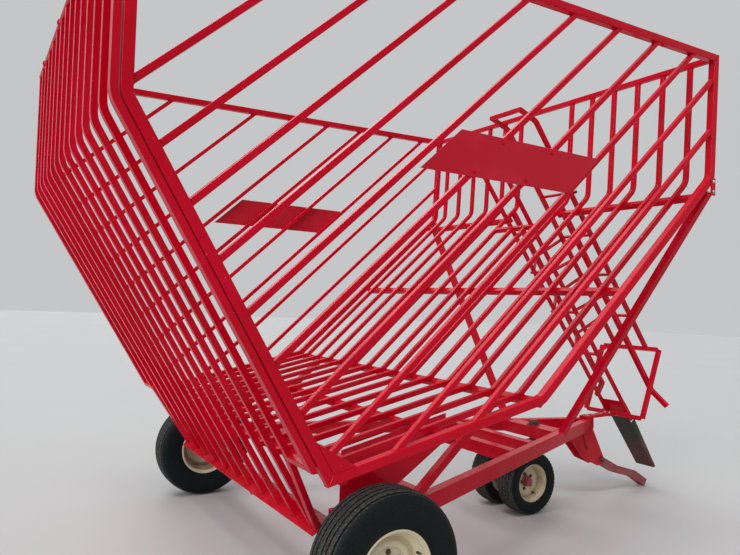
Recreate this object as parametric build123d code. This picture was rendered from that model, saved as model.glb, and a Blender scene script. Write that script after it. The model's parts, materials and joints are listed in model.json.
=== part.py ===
from build123d import *
import math
import os

# Bale basket wagon, in millimetres. It is drawn with y forward from the rear axle, x to its right
# and z up from the floor, and then moved so that y is 0 halfway along it.
# The driving sizes come first, then one section for each sub-part.

# Cage: outer half-width, and the side frame's centre line as (y, z) corners.
CAGE_HALF = 1580
SIDE_PATH = {
    "bottom_rear": (-385, 867),
    "bottom_front": (930, 1176),
    "wall_foot": (2479, 2615),
    "wall_top": (2507, 3460),
    "rear_top": (-1356, 3354),
    "rear_bend": (-1345, 2438),
}
SIDE_DEPTH = 50
SIDE_WIDTH = 50
SILL_BEND = 105
POST_BEND = 90
GUSSET_POST_LEG = 170
GUSSET_SILL_LEG = 120
GUSSET_THICK = 8

# Side bars, parallel to the floor slope.
SIDE_BAR = 32
SIDE_BAR_COUNT = 10
SIDE_BAR_PITCH = 250
STRIP_LENGTH = 9000

# Sign plates on the sides: lower and upper edge, rear end of the lower edge, length.
SIGN_LOW, SIGN_HIGH = 2345, 2580
SIGN_REAR = 40
SIGN_LENGTH = 1045
SIGN_THICK = 3

# Floor and front wall bars.
FLOOR_BAR = 34
FLOOR_BAR_PITCH = 216
FLOOR_BAR_FIRST = 300
FLOOR_BARS_PER_SIDE = 6
MIDDLE_BAR_X = 84
CROSS_TUBE = 44
END_RAIL = 40

# Rear gate.
GATE_BAR = 32
GATE_SIDE_WIDTH = 50
GATE_GAP = 6
GATE_BAR_PITCH = 222
GATE_BAR_COUNT = 13
GATE_BEND = 137
GATE_STEP_Z = 915
GATE_FOOT_Z = 505
GATE_STEP_HALF = 1330
GATE_FOOT_HALF = 1164
FOOT_LEG = 95
FOOT_FLANGE = 70
FOOT_THICK = 8
CATCH_X = 200
HINGE_PIPE_R = 20
HINGE_PLAY = 0.06
HINGE_LUG_THICK = 12
HINGE_LUG_RIM = 8
HINGE_LUG_X = (-1221, -333, 333, 1221)

# A-frame: drawn level and then tilted up toward its tip, about a line across it over the axle.
RAIL_MIDDLE_Z = 551
RAIL_DEPTH = 102
RAIL_WIDTH = 76
FRAME_TILT = 1.81
TIP_Y = 3190
RAIL_BEND = (1165, 450)
RAIL_REAR_Y = -150
MEMBER_TOP = 50
MEMBER_DEPTH = 96

# Hanger plates and braces that carry the cage on the rails.
HANGER_THICK = 8
HANGER_REAR_Y = -130
HANGER_EDGE = ((-30, 545), (241, 710), (540, 910))
FLOOR_BRACE = 45
FLOOR_BRACE_Y = 310
WALL_BRACE = 50
WALL_BRACE_TOP_Z = 2530

# Rear wheels and axle.
WHEEL_X = 1456
TYRE_R = 388
TYRE_HALF = 125
RIM_R = 208
RIM_WELL_R = 178
AXLE_BEAM = 80
AXLE_BLOCK_LENGTH = 120
SPINDLE_R = 22
SPINDLE_REACH = 60
BEARING_PLAY = 0.05

# Twin caster.
CASTER_Y = 2464
CASTER_TRAIL = 230
CASTER_TYRE_R = 256
CASTER_TYRE_HALF = 92
CASTER_TYRE_X = 165
CASTER_RIM_R = 155
CASTER_WELL_R = 133
CASTER_PIN_R = 30
CASTER_AXLE_R = 20
CASTER_AXLE_REACH = 48
CROWN_Z = 530
CROWN_SIZE = 180
CROWN_THICK = 20
PIN_STUB = 46
ARM_X = 50
ARM_THICK = 14

# Tongue.
TONGUE_PIVOT = (3286, 320)
TONGUE_BENDS = ((3530, 203), (3795, 132))
TONGUE_END = (3968, 33)
TONGUE_CURVE = 160
TONGUE_HEEL = 40
TONGUE_DEPTH = 70
TONGUE_WIDTH = 80
BRACKET_THICK = 12
BRACKET_REAR_Y, BRACKET_FRONT_Y = 2817, 3170
BRACKET_SLOT = ((3032, 552), (3088, 428))
BRACKET_SLOT_WIDTH = 24
PIVOT_R = 14
PIVOT_PLAY = 0.06
PIVOT_HEAD = 20
HITCH_R = 16
HITCH_INSET = 60

# Chute: a tunnel of six rails at one slope. Each rail's x, and a (y, z) point it passes through.
CHUTE_SLOPE = 0.801
FLOOR_ROD_X, FLOOR_ROD, FLOOR_ROD_POINT = 122, 28, (4023, 175)
SIDE_RAIL_X, SIDE_RAIL, SIDE_RAIL_POINT = 280, 40, (3694, 966)
TOP_RAIL_X, TOP_RAIL, TOP_RAIL_POINT = 170, 34, (3222, 2012)
FLOOR_ROD_TOP_Z = 2800
SIDE_RAIL_TOP_Z = 2560
TOP_RAIL_BEND_Z = 3272
TOP_RAIL_END = (2027, 3337)
TOP_RAIL_BEND = 80
FLARE_END = (399, 3759, 838)
TIE = 24
TIE_HALF = 205
TIE_HEIGHTS = (1642, 2015, 2358, 2706, 3050)
FRAMED_TIES = 3
CHUTE_STRUT = 22
SLEEPER = 40
LIP_HIGH, LIP_LOW = 840, 712
LIP_THICK = 4

# Pan at the chute's foot.
PAN_HINGE_Z = 690
PAN_LENGTH = 640
PAN_HALF = 102
PAN_FLANGE = 60
PAN_FOOT_FLANGE = 20
PAN_THICK = 5
PAN_EYE_R = 15
PAN_ROD_R = 8
PAN_ROD_STUB = 6

# Hoop round the chute.
HOOP_FOOT = (3512, 725)
HOOP_TOP = (3734, 1352)
HOOP_HALF = 338
HOOP_BAR = 38
HOOP_ARM_WIDTH = 80
HOOP_ARM_THICK = 24
HOOP_ARM_LAP = 100

# Ends of the whole wagon, which put the origin halfway between them.
FRONT_END_Y = 4026
REAR_END_Y = -1431
ORIGIN_Y = (FRONT_END_Y + REAR_END_Y) / 2


def unit(a, b):
    """Direction from a to b, as a pair."""
    length = math.dist(a, b)
    return (b[0] - a[0]) / length, (b[1] - a[1]) / length


def lean_of(direction):
    """Angle of a side-view direction above the forward line, in degrees."""
    return math.degrees(math.atan2(direction[1], direction[0]))


def shifted(path, offset, closed=False):
    """The path moved to its left by offset, with mitred corners."""
    moved = []
    count = len(path)
    for i, (u, v) in enumerate(path):
        before = unit(path[i - 1], path[i]) if closed or i > 0 else None
        after = unit(path[i], path[(i + 1) % count]) if closed or i < count - 1 else None
        before, after = before or after, after or before
        normal = (-before[1] - after[1], before[0] + after[0])
        scale = offset / (1 + before[0] * after[0] + before[1] * after[1])
        moved.append((u + normal[0] * scale, v + normal[1] * scale))
    return moved


def polygon(*points):
    """Closed face with sharp corners."""
    return make_face(Polyline(*points, close=True))


def outline(points, radii):
    """Closed face through the points, each corner rounded by its radius, 0 for a sharp one."""
    return make_face(FilletPolyline(*points, radius=radii, close=True))


def bent_outline(path, depth, bend):
    """Outline of a bent bar round its centre line."""
    left = shifted(path, depth / 2)
    right = shifted(path, -depth / 2)
    turns = []
    for a, b, c in zip(path, path[1:], path[2:]):
        one, two = unit(a, b), unit(b, c)
        turns.append(one[0] * two[1] - one[1] * two[0])
    inner, outer = bend - depth / 2, bend + depth / 2
    left_radii = [0] + [inner if turn > 0 else outer for turn in turns] + [0]
    right_radii = [0] + [outer if turn > 0 else inner for turn in turns] + [0]
    return outline(left + right[::-1], left_radii + right_radii[::-1])


def bar_outline(path, depth):
    """Outline of a bar round its centre line, with mitred corners."""
    return polygon(*shifted(path, depth / 2), *shifted(path, -depth / 2)[::-1])


def across(face, x, width):
    """A side-view face made a solid of the given width, its middle at x."""
    return extrude(Plane.YZ.offset(x - width / 2) * face, amount=width)


def upright(face, low, high):
    """A plan-view face made a solid from one height to another."""
    return extrude(Plane.XY.offset(low) * face, amount=high - low)


def cross_bar(y, z, half, depth, height, lean=0):
    """A bar across the wagon, its section turned by lean degrees about x."""
    return Pos(0, y, z) * Rot(lean, 0, 0) * Box(2 * half, depth, height)


def strut(start, end, width, depth):
    """A straight bar between two points in space."""
    along = Vector(*end) - Vector(*start)
    plane = Plane(origin=start, x_dir=(0, 1, 0), z_dir=along)
    return plane * Box(depth, width, along.length, align=(Align.CENTER, Align.CENTER, Align.MIN))


def round_bar(half, y, z, radius):
    """A round bar across the wagon."""
    return extrude(Plane.YZ.offset(-half) * Pos(y, z) * Circle(radius), amount=2 * half)


def wheel_ring(x, y, z, profile, sign=1):
    """A ring about a wheel's axle: the profile is (radius, distance out from the wheel's middle)."""
    return Pos(sign * x, y, z) * revolve(polygon(*[(sign * out, r) for r, out in profile]), Axis.X)


def tilted(shape):
    """A level shape turned with the A-frame, up toward its tip."""
    return Pos(0, 0, RAIL_MIDDLE_Z) * Rot(FRAME_TILT, 0, 0) * Pos(0, 0, -RAIL_MIDDLE_Z) * shape


def frame_z(y, above):
    """Height at y of a line that lies above the middle of the A-frame's rails."""
    tilt = math.radians(FRAME_TILT)
    return RAIL_MIDDLE_Z + y * math.tan(tilt) + above / math.cos(tilt)


def largest(shape):
    """The biggest solid of a cut shape."""
    return shape.solids().sort_by(SortBy.VOLUME)[-1]


def group(shapes):
    """Several shapes of one node."""
    return Compound(children=[solid for shape in shapes for solid in shape.solids()])


def joined(first, *others):
    """Shapes that run into each other as one solid."""
    for other in others:
        first = first + other
    return first


def keep(name, shape):
    """Put one node in its place along the wagon and write it."""
    placed = Compound(children=[Pos(0, -ORIGIN_Y, 0) * solid for solid in shape.solids()])
    placed.label = name
    export_step(placed, f"parts/{name}.step")


def both(name, maker):
    """Write a node for each side of the wagon."""
    for side, sign in (("right", 1), ("left", -1)):
        keep(f"{name}_{side}", maker(sign))


def on_both_sides(maker):
    """One node with a like piece on each side."""
    return group(maker(sign) for sign in (-1, 1))


os.makedirs("parts", exist_ok=True)

# Side frames: a closed ring of tube, split at its corners into a rear post, a sill that bends up
# into the front post, and a top rail.
ring = list(SIDE_PATH.values())
outer = dict(zip(SIDE_PATH, shifted(ring, -SIDE_DEPTH / 2, closed=True)))
inner = dict(zip(SIDE_PATH, shifted(ring, SIDE_DEPTH / 2, closed=True)))
SIDE_X = CAGE_HALF - SIDE_WIDTH / 2


def ring_part(corners, bend):
    """Part of the ring between two mitred ends, bent at the corners between them."""
    bends = len(corners) - 2
    out_radii = [0] + [bend + SIDE_DEPTH / 2] * bends + [0]
    in_radii = [0] + [bend - SIDE_DEPTH / 2] * bends + [0]
    points = [outer[c] for c in corners] + [inner[c] for c in reversed(corners)]
    return outline(points, out_radii + in_radii)


sill = ring_part(["bottom_rear", "bottom_front", "wall_foot", "wall_top"], SILL_BEND)
rear_post = ring_part(["rear_top", "rear_bend", "bottom_rear"], POST_BEND)
top_rail = ring_part(["wall_top", "rear_top"], 0)
both("side_sill", lambda sign: across(sill, sign * SIDE_X, SIDE_WIDTH))
both("rear_post", lambda sign: across(rear_post, sign * SIDE_X, SIDE_WIDTH))
both("top_rail", lambda sign: across(top_rail, sign * SIDE_X, SIDE_WIDTH))

# Gussets in the lower rear corners, flush with the frame's outer face.
corner = inner["bottom_rear"]
up_post = unit(SIDE_PATH["bottom_rear"], SIDE_PATH["rear_bend"])
along_sill = unit(SIDE_PATH["bottom_rear"], SIDE_PATH["bottom_front"])
gusset = polygon(
    corner,
    (corner[0] + along_sill[0] * GUSSET_SILL_LEG, corner[1] + along_sill[1] * GUSSET_SILL_LEG),
    (corner[0] + up_post[0] * GUSSET_POST_LEG, corner[1] + up_post[1] * GUSSET_POST_LEG),
)
GUSSET_X = CAGE_HALF - GUSSET_THICK / 2
keep("corner_gussets", on_both_sides(lambda sign: across(gusset, sign * GUSSET_X, GUSSET_THICK)))

# Side bars: strips parallel to the slope, cut to the window inside the ring.
slope = unit(SIDE_PATH["bottom_front"], SIDE_PATH["wall_foot"])
sill_inside, post_inside = SILL_BEND - SIDE_DEPTH / 2, POST_BEND - SIDE_DEPTH / 2
window = outline(list(inner.values()), [0, sill_inside, sill_inside, 0, 0, post_inside])
slope_foot = SIDE_PATH["bottom_front"]
strips = []
for row in range(1, SIDE_BAR_COUNT + 1):
    rise = row * SIDE_BAR_PITCH
    middle = (slope_foot[0] - slope[1] * rise, slope_foot[1] + slope[0] * rise)
    strip = Pos(*middle) * Rot(0, 0, lean_of(slope)) * Rectangle(STRIP_LENGTH, SIDE_BAR)
    strips.append(window & strip)
both("side_bars", lambda sign: group(across(strip, sign * SIDE_X, SIDE_BAR) for strip in strips))

# Sign plates: bare sheets with ends parallel to the bars.
sign_lead = (SIGN_HIGH - SIGN_LOW) * slope[0] / slope[1]
sign_face = polygon(
    (SIGN_REAR, SIGN_LOW),
    (SIGN_REAR + SIGN_LENGTH, SIGN_LOW),
    (SIGN_REAR + SIGN_LENGTH + sign_lead, SIGN_HIGH),
    (SIGN_REAR + sign_lead, SIGN_HIGH),
)
SIGN_X = SIDE_X + SIDE_BAR / 2 + SIGN_THICK / 2
both("sign_plate", lambda sign: across(sign_face, sign * SIGN_X, SIGN_THICK))

# Rails across the top corners.
INSIDE = CAGE_HALF - SIDE_WIDTH
front_top = cross_bar(*SIDE_PATH["wall_top"], INSIDE, END_RAIL, END_RAIL)
rear_top = cross_bar(*SIDE_PATH["rear_top"], INSIDE, END_RAIL, END_RAIL)
keep("end_top_rails", group([front_top, rear_top]))

# Chute rails. A rail's point at a height, and directions along the chute and out from its floor.
chute_length = math.hypot(CHUTE_SLOPE, 1)
chute_down = (CHUTE_SLOPE / chute_length, -1 / chute_length)
chute_out = (1 / chute_length, CHUTE_SLOPE / chute_length)
chute_lean = lean_of(chute_down)


def on_rail(point, z):
    """Point at height z of the rail that passes through the given point."""
    return point[0] - CHUTE_SLOPE * (z - point[1]), z


def out_from(point, distance):
    """A chute point moved out from the chute's floor."""
    return point[0] + chute_out[0] * distance, point[1] + chute_out[1] * distance


def down_from(point, distance):
    """A chute point moved down the chute."""
    return point[0] + chute_down[0] * distance, point[1] + chute_down[1] * distance


# Entry sleeper: a bar under the floor rods, between the two innermost long floor bars, where the
# chute comes up through the floor. The middle floor bars end on it.
wall_foot = SIDE_PATH["wall_foot"]
level = (wall_foot[0] - slope_foot[0]) / (wall_foot[1] - slope_foot[1])
rod_at_foot = on_rail(FLOOR_ROD_POINT, slope_foot[1])
meet_z = slope_foot[1] + (rod_at_foot[0] - slope_foot[0]) / (level + CHUTE_SLOPE)
sleeper_place = out_from(on_rail(FLOOR_ROD_POINT, meet_z), -(FLOOR_ROD + SLEEPER) / 2)
SLEEPER_HALF = FLOOR_BAR_FIRST - FLOOR_BAR / 2
sleeper = cross_bar(*sleeper_place, SLEEPER_HALF, SLEEPER, SLEEPER, chute_lean)

# Floor and front wall bars: down the wall, round the bend, down the slope and along the bottom.
wall_top = SIDE_PATH["wall_top"]
floor_path = [wall_top, wall_foot, slope_foot, SIDE_PATH["bottom_rear"]]
floor_bar = bent_outline(floor_path, FLOOR_BAR, SILL_BEND)
middle_bar = bent_outline([sleeper_place, *floor_path[2:]], FLOOR_BAR, SILL_BEND)
bars = []
for place in range(FLOOR_BARS_PER_SIDE):
    for sign in (-1, 1):
        bar = across(floor_bar, sign * (FLOOR_BAR_FIRST + place * FLOOR_BAR_PITCH), FLOOR_BAR)
        bars.append(largest(bar - front_top))
bars += [across(middle_bar, sign * MIDDLE_BAR_X, FLOOR_BAR) - sleeper for sign in (-1, 1)]
bars = group(bars)
keep("floor_bars", bars)

# Cross tubes under the floor: y along the wagon, and which stretch of the floor each lies under.
# The front one is in two pieces, with the chute's mouth between them.
CROSS_TUBES = (
    # y, stretch from, stretch to
    (-300, "bottom_rear", "bottom_front"),
    (330, "bottom_rear", "bottom_front"),
    (935, "bottom_front", "wall_foot"),
    (1640, "bottom_front", "wall_foot"),
    (2370, "bottom_front", "wall_foot"),
)


def under_floor(y, start, end, size=CROSS_TUBE):
    """Middle and lean of a bar that lies under the floor bars at y."""
    a, b = SIDE_PATH[start], SIDE_PATH[end]
    run = unit(a, b)
    drop = FLOOR_BAR / 2 + size / 2
    z = a[1] + (y - a[0]) * run[1] / run[0]
    return y + run[1] * drop, z - run[0] * drop, lean_of(run)


tubes = []
for y, start, end in CROSS_TUBES:
    tube_y, tube_z, lean = under_floor(y, start, end)
    tubes.append(cross_bar(tube_y, tube_z, INSIDE, CROSS_TUBE, CROSS_TUBE, lean))
mouth = cross_bar(*under_floor(*CROSS_TUBES[-1])[:2], SLEEPER_HALF, CAGE_HALF / 2, CAGE_HALF / 2)
tubes = group([*tubes[:-1], tubes[-1] - mouth, sleeper])
keep("floor_cross_tubes", tubes)

# A-frame rails: straight from the tip to a bend ahead of the tyre, then back past the axle.
rail_line = [(0, TIP_Y), RAIL_BEND, (RAIL_BEND[0], RAIL_REAR_Y)]
half_plan = Pos(CAGE_HALF / 2, TIP_Y / 2) * Rectangle(CAGE_HALF, 3 * TIP_Y)
rail_low, rail_high = RAIL_MIDDLE_Z - RAIL_DEPTH / 2, RAIL_MIDDLE_Z + RAIL_DEPTH / 2
right_rail = tilted(upright(bar_outline(rail_line, RAIL_WIDTH) & half_plan, rail_low, rail_high))
left_rail = mirror(right_rail, Plane.YZ)
keep("frame_rail_right", right_rail)
keep("frame_rail_left", left_rail)
rails = group([right_rail, left_rail])

# Cross members between the rails: y and length along the wagon.
half_inside = polygon(*shifted(rail_line, -RAIL_WIDTH / 2), (0, RAIL_REAR_Y))
inside_plan = half_inside + mirror(half_inside, Plane.YZ)
CROSS_MEMBERS = (
    # y, length along the wagon
    (CASTER_Y, 150),
    (1950, 76),
    (1640, 76),
    (RAIL_BEND[1], 76),
)
members = []
for y, length in CROSS_MEMBERS:
    strip = Pos(0, y) * Rectangle(2 * CAGE_HALF, length)
    member_top = RAIL_MIDDLE_Z + MEMBER_TOP
    members.append(tilted(upright(inside_plan & strip, member_top - MEMBER_DEPTH, member_top)))
caster_bore = Pos(0, CASTER_Y, RAIL_MIDDLE_Z) * Cylinder(CASTER_PIN_R + BEARING_PLAY, RAIL_MIDDLE_Z)
members = group(members) - caster_bore
keep("frame_cross_members", members)

# Rear axle: a box beam with a spindle at each end, and blocks that carry the rails on it.
AXLE_HALF = RAIL_BEND[0] + RAIL_WIDTH / 2
beam = cross_bar(0, TYRE_R, AXLE_HALF, AXLE_BEAM, AXLE_BEAM)
keep("rear_axle", joined(beam, round_bar(WHEEL_X + SPINDLE_REACH, 0, TYRE_R, SPINDLE_R)))
block_low = TYRE_R + AXLE_BEAM / 2
block_size = (RAIL_WIDTH, AXLE_BLOCK_LENGTH, RAIL_MIDDLE_Z - block_low)
block = Box(*block_size, align=(Align.CENTER, Align.CENTER, Align.MIN))
keep("axle_blocks", on_both_sides(lambda sign: Pos(sign * RAIL_BEND[0], 0, block_low) * block - rails))

# Hanger plates: from the outer face of each rail up to the floor, round the cross tubes.
floor_run = unit(SIDE_PATH["bottom_rear"], SIDE_PATH["bottom_front"])


def floor_underside(y):
    """Lowest height of the floor's rear stretch at y."""
    a = SIDE_PATH["bottom_rear"]
    return a[1] + (y - a[0]) * floor_run[1] / floor_run[0] - FLOOR_BAR / 2 / floor_run[0]


hanger = polygon(
    (HANGER_REAR_Y, HANGER_EDGE[0][1]),
    *HANGER_EDGE,
    (HANGER_EDGE[-1][0], floor_underside(HANGER_EDGE[-1][0])),
    (HANGER_REAR_Y, floor_underside(HANGER_REAR_Y)),
)
HANGER_X = AXLE_HALF + HANGER_THICK / 2
keep("hanger_plates", on_both_sides(lambda sign: across(hanger, sign * HANGER_X, HANGER_THICK) - tubes))

# Floor braces: from the top of each rail forward to the cross tube at the floor's bend.
brace_foot = (FLOOR_BRACE_Y, frame_z(FLOOR_BRACE_Y, 0))
brace_face = bar_outline([brace_foot, under_floor(*CROSS_TUBES[2])[:2]], FLOOR_BRACE)
FLOOR_BRACE_X = AXLE_HALF - FLOOR_BRACE / 2


def floor_brace(sign):
    """A brace cut where it meets the rail and the cross tube."""
    return largest(across(brace_face, sign * FLOOR_BRACE_X, FLOOR_BRACE) - rails - tubes)


keep("floor_braces", on_both_sides(floor_brace))

# Wall braces: from the front cross member out to the wall's foot.
sills = on_both_sides(lambda sign: across(sill, sign * SIDE_X, SIDE_WIDTH))


def wall_brace(sign):
    """A brace up to the inner face of the sill, cut clear of the cross tubes."""
    start = (sign * FLOOR_BAR_FIRST, CASTER_Y, frame_z(CASTER_Y, 0))
    end = (sign * SIDE_X, CASTER_Y, WALL_BRACE_TOP_Z)
    return largest(strut(start, end, WALL_BRACE, WALL_BRACE) - rails - members - sills - tubes)


keep("wall_braces", on_both_sides(wall_brace))

# Rear gate: a pipe that turns in lugs on the rear top rail, with bent bars hanging from it.
post_path = [SIDE_PATH["rear_top"], SIDE_PATH["rear_bend"], SIDE_PATH["bottom_rear"]]
gate_line = shifted(post_path, -(SIDE_DEPTH / 2 + GATE_GAP + GATE_BAR / 2))
fall = unit(gate_line[1], gate_line[2])
gate_lean = lean_of(fall)
pipe_y, pipe_z = gate_line[0]


def on_gate(z):
    """Point of the gate's lower stretch at height z."""
    start = gate_line[1]
    return start[0] + (z - start[1]) * fall[0] / fall[1], z


def behind_gate(point, distance):
    """A gate point moved rearward, square to the gate."""
    return point[0] + fall[1] * distance, point[1] - fall[0] * distance


pipe = round_bar(CAGE_HALF, pipe_y, pipe_z, HINGE_PIPE_R)
keep("gate_hinge_pipe", pipe)
rail_back = SIDE_PATH["rear_top"][0] - END_RAIL / 2
lug_r = HINGE_PIPE_R + HINGE_LUG_RIM
lug_web = Pos((pipe_y + rail_back) / 2, pipe_z) * Rectangle(rail_back - pipe_y, 2 * lug_r)
lug_face = Pos(pipe_y, pipe_z) * Circle(lug_r) + lug_web
lug_hole = round_bar(CAGE_HALF, pipe_y, pipe_z, HINGE_PIPE_R + HINGE_PLAY)
keep("gate_lugs", group(across(lug_face, x, HINGE_LUG_THICK) for x in HINGE_LUG_X) - lug_hole - rear_top)

step_point = on_gate(GATE_STEP_Z)
foot_point = on_gate(GATE_FOOT_Z)
taper_start = (GATE_STEP_HALF - GATE_SIDE_WIDTH / 2, *step_point)
taper_end = (GATE_FOOT_HALF - GATE_SIDE_WIDTH / 2, *foot_point)
GATE_SIDE_X = CAGE_HALF - GATE_SIDE_WIDTH / 2
to_step = bent_outline([*gate_line[:2], step_point], GATE_BAR, GATE_BEND)
to_foot = bent_outline([*gate_line[:2], foot_point], GATE_BAR, GATE_BEND)


def gate_taper(sign):
    """Lower side of the gate: a bar in the gate's plane that leans in to the foot."""
    lower_corners = [
        (GATE_STEP_HALF, 0),
        (GATE_FOOT_HALF, math.dist(step_point, foot_point)),
        (GATE_FOOT_HALF - GATE_SIDE_WIDTH, math.dist(step_point, foot_point)),
        (GATE_STEP_HALF - GATE_SIDE_WIDTH, 0),
    ]
    plane = Plane(origin=(0, *step_point), x_dir=(1, 0, 0), z_dir=(0, -fall[1], fall[0]))
    face = polygon(*[(sign * x, down) for x, down in lower_corners])
    return extrude(plane * face, amount=GATE_BAR / 2, both=True)


tapers = on_both_sides(gate_taper)
keep("gate_sides", on_both_sides(lambda sign: across(to_step, sign * GATE_SIDE_X, GATE_SIDE_WIDTH) - pipe))

# Lower corners of the gate: the tapers, and steps that join them to the sides.
step_length = GATE_SIDE_X - GATE_SIDE_WIDTH / 2 - GATE_STEP_HALF + GATE_SIDE_WIDTH


def gate_step(sign):
    """A bar across the corner, from the gate's side in to its taper."""
    middle = GATE_SIDE_X - GATE_SIDE_WIDTH / 2 - step_length / 2
    size = Box(step_length, GATE_BAR, GATE_BAR, align=(Align.CENTER, Align.MAX, Align.CENTER))
    return Pos(sign * middle, *step_point) * Rot(gate_lean, 0, 0) * size


gate_corners = group([tapers, on_both_sides(gate_step) - tapers])
keep("gate_corners", gate_corners)

# Gate bars: evenly spaced, and each cut by the corner that it meets. The outermost end on the steps.
gate_bars = []
for place in range(GATE_BAR_COUNT):
    x = (place - (GATE_BAR_COUNT - 1) / 2) * GATE_BAR_PITCH
    gate_bars.append(largest(across(to_foot, x, GATE_BAR) - pipe - gate_corners))
keep("gate_bars", group(gate_bars))

# Foot of the gate: an angle whose leg stands ahead of the bars and whose flange lies under them.
leg_middle = behind_gate(foot_point, -(GATE_BAR + FOOT_THICK) / 2)
leg_middle = (leg_middle[0] - fall[0] * FOOT_LEG / 2, leg_middle[1] - fall[1] * FOOT_LEG / 2)
leg = cross_bar(*leg_middle, GATE_FOOT_HALF, FOOT_LEG, FOOT_THICK, gate_lean)
flange_middle = behind_gate(foot_point, FOOT_FLANGE / 2 - GATE_BAR / 2 - FOOT_THICK)
flange_middle = (flange_middle[0] + fall[0] * FOOT_THICK / 2, flange_middle[1] + fall[1] * FOOT_THICK / 2)
flange = cross_bar(*flange_middle, GATE_FOOT_HALF, FOOT_THICK, FOOT_FLANGE, gate_lean)
catch_place = (flange_middle[0] + fall[0] * FOOT_FLANGE / 2, flange_middle[1] + fall[1] * FOOT_FLANGE / 2)
catches = []
for sign in (-1, 1):
    tooth = Box(FOOT_THICK, FOOT_FLANGE, FOOT_FLANGE / 2)
    catches.append(Pos(sign * CATCH_X, *catch_place) * Rot(gate_lean, 0, 0) * tooth)
keep("gate_foot", joined(leg, flange, *catches))

# Rear wheels: radius and distance out from the wheel's middle.
TYRE_PROFILE = (
    (RIM_R, -105), (RIM_R + 18, -112), (262, -TYRE_HALF + 3), (300, -TYRE_HALF), (338, -TYRE_HALF + 5),
    (368, -104), (383, -90), (TYRE_R, -74), (TYRE_R, 74), (383, 90), (368, 104),
    (338, TYRE_HALF - 5), (300, TYRE_HALF), (262, TYRE_HALF - 3), (RIM_R + 18, 112), (RIM_R, 105),
)
RIM_PROFILE = (
    (RIM_R, -105), (RIM_R, 105), (RIM_R - 8, 110), (RIM_R - 12, 98), (RIM_WELL_R, 60),
    (RIM_WELL_R, -60), (RIM_R - 12, -98), (RIM_R - 8, -110),
)
DISC_PROFILE = (
    (RIM_WELL_R, 10), (150, 34), (110, 38), (96, 22), (60, 22),
    (60, 10), (104, 10), (120, 26), (146, 22), (RIM_WELL_R, -4),
)
HUB_PROFILE = (
    (60, 10), (60, 34), (44, 40), (40, 74), (SPINDLE_R + BEARING_PLAY, 74),
    (SPINDLE_R + BEARING_PLAY, -80), (45, -80), (45, 10),
)


def rear_ring(sign, profile):
    """A ring of one of the rear wheels."""
    return wheel_ring(WHEEL_X, 0, TYRE_R, profile, sign)


both("rear_tyre", lambda sign: rear_ring(sign, TYRE_PROFILE))
both("rear_rim", lambda sign: rear_ring(sign, RIM_PROFILE) + rear_ring(sign, DISC_PROFILE))
both("rear_hub", lambda sign: rear_ring(sign, HUB_PROFILE))

# Twin caster: a pin that turns in the front cross member, trailing arms and an axle.
axle_y = CASTER_Y - CASTER_TRAIL
crown = Pos(0, CASTER_Y - CROWN_THICK, CROWN_Z) * Box(CROWN_SIZE, CROWN_SIZE, CROWN_THICK)
pin_low = CROWN_Z + CROWN_THICK / 2
pin_high = frame_z(CASTER_Y, MEMBER_TOP) + PIN_STUB
pin = Cylinder(CASTER_PIN_R, pin_high - pin_low, align=(Align.CENTER, Align.CENTER, Align.MIN))
arm_top = CROWN_Z - CROWN_THICK / 2
arm_face = polygon(
    (CASTER_Y - 105, arm_top),
    (axle_y - 45, CASTER_TYRE_R + 10),
    (axle_y - 20, CASTER_TYRE_R - 45),
    (axle_y + 40, CASTER_TYRE_R - 45),
    (CASTER_Y + 60, arm_top - 70),
    (CASTER_Y + 60, arm_top),
)
arms = [across(arm_face, sign * ARM_X, ARM_THICK) for sign in (-1, 1)]
caster_axle = round_bar(CASTER_TYRE_X + CASTER_AXLE_REACH, axle_y, CASTER_TYRE_R, CASTER_AXLE_R)
keep("caster_fork", joined(crown, Pos(0, CASTER_Y, pin_low) * pin, *arms, caster_axle))
half = CASTER_TYRE_HALF
CASTER_TYRE = (
    (CASTER_RIM_R, 18 - half), (175, 8 - half), (200, -half), (228, 5 - half), (247, 16 - half),
    (CASTER_TYRE_R, 30 - half), (CASTER_TYRE_R, half - 30), (247, half - 16), (228, half - 5),
    (200, half), (175, half - 8), (CASTER_RIM_R, half - 18),
)
CASTER_RIM = (
    (CASTER_RIM_R, 18 - half), (CASTER_RIM_R, half - 18), (CASTER_RIM_R - 8, half - 14),
    (CASTER_RIM_R - 12, half - 24), (CASTER_WELL_R, half - 44), (CASTER_WELL_R, 44 - half),
    (CASTER_RIM_R - 12, 24 - half), (CASTER_RIM_R - 8, 14 - half),
)
CASTER_DISC = (
    (CASTER_WELL_R, -8), (104, 4), (80, -6), (45, -6),
    (45, -18), (84, -18), (104, -10), (CASTER_WELL_R, -22),
)
play = CASTER_AXLE_R + BEARING_PLAY
CASTER_HUB = ((45, -60), (45, 2), (38, 8), (34, 42), (play, 42), (play, -60))


def caster_ring(sign, profile):
    """A ring of one of the caster's wheels."""
    return wheel_ring(CASTER_TYRE_X, axle_y, CASTER_TYRE_R, profile, sign)


keep("caster_tyres", on_both_sides(lambda sign: caster_ring(sign, CASTER_TYRE)))
keep(
    "caster_rims",
    on_both_sides(lambda sign: caster_ring(sign, CASTER_RIM) + caster_ring(sign, CASTER_DISC)),
)
keep("caster_hubs", on_both_sides(lambda sign: caster_ring(sign, CASTER_HUB)))

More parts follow.
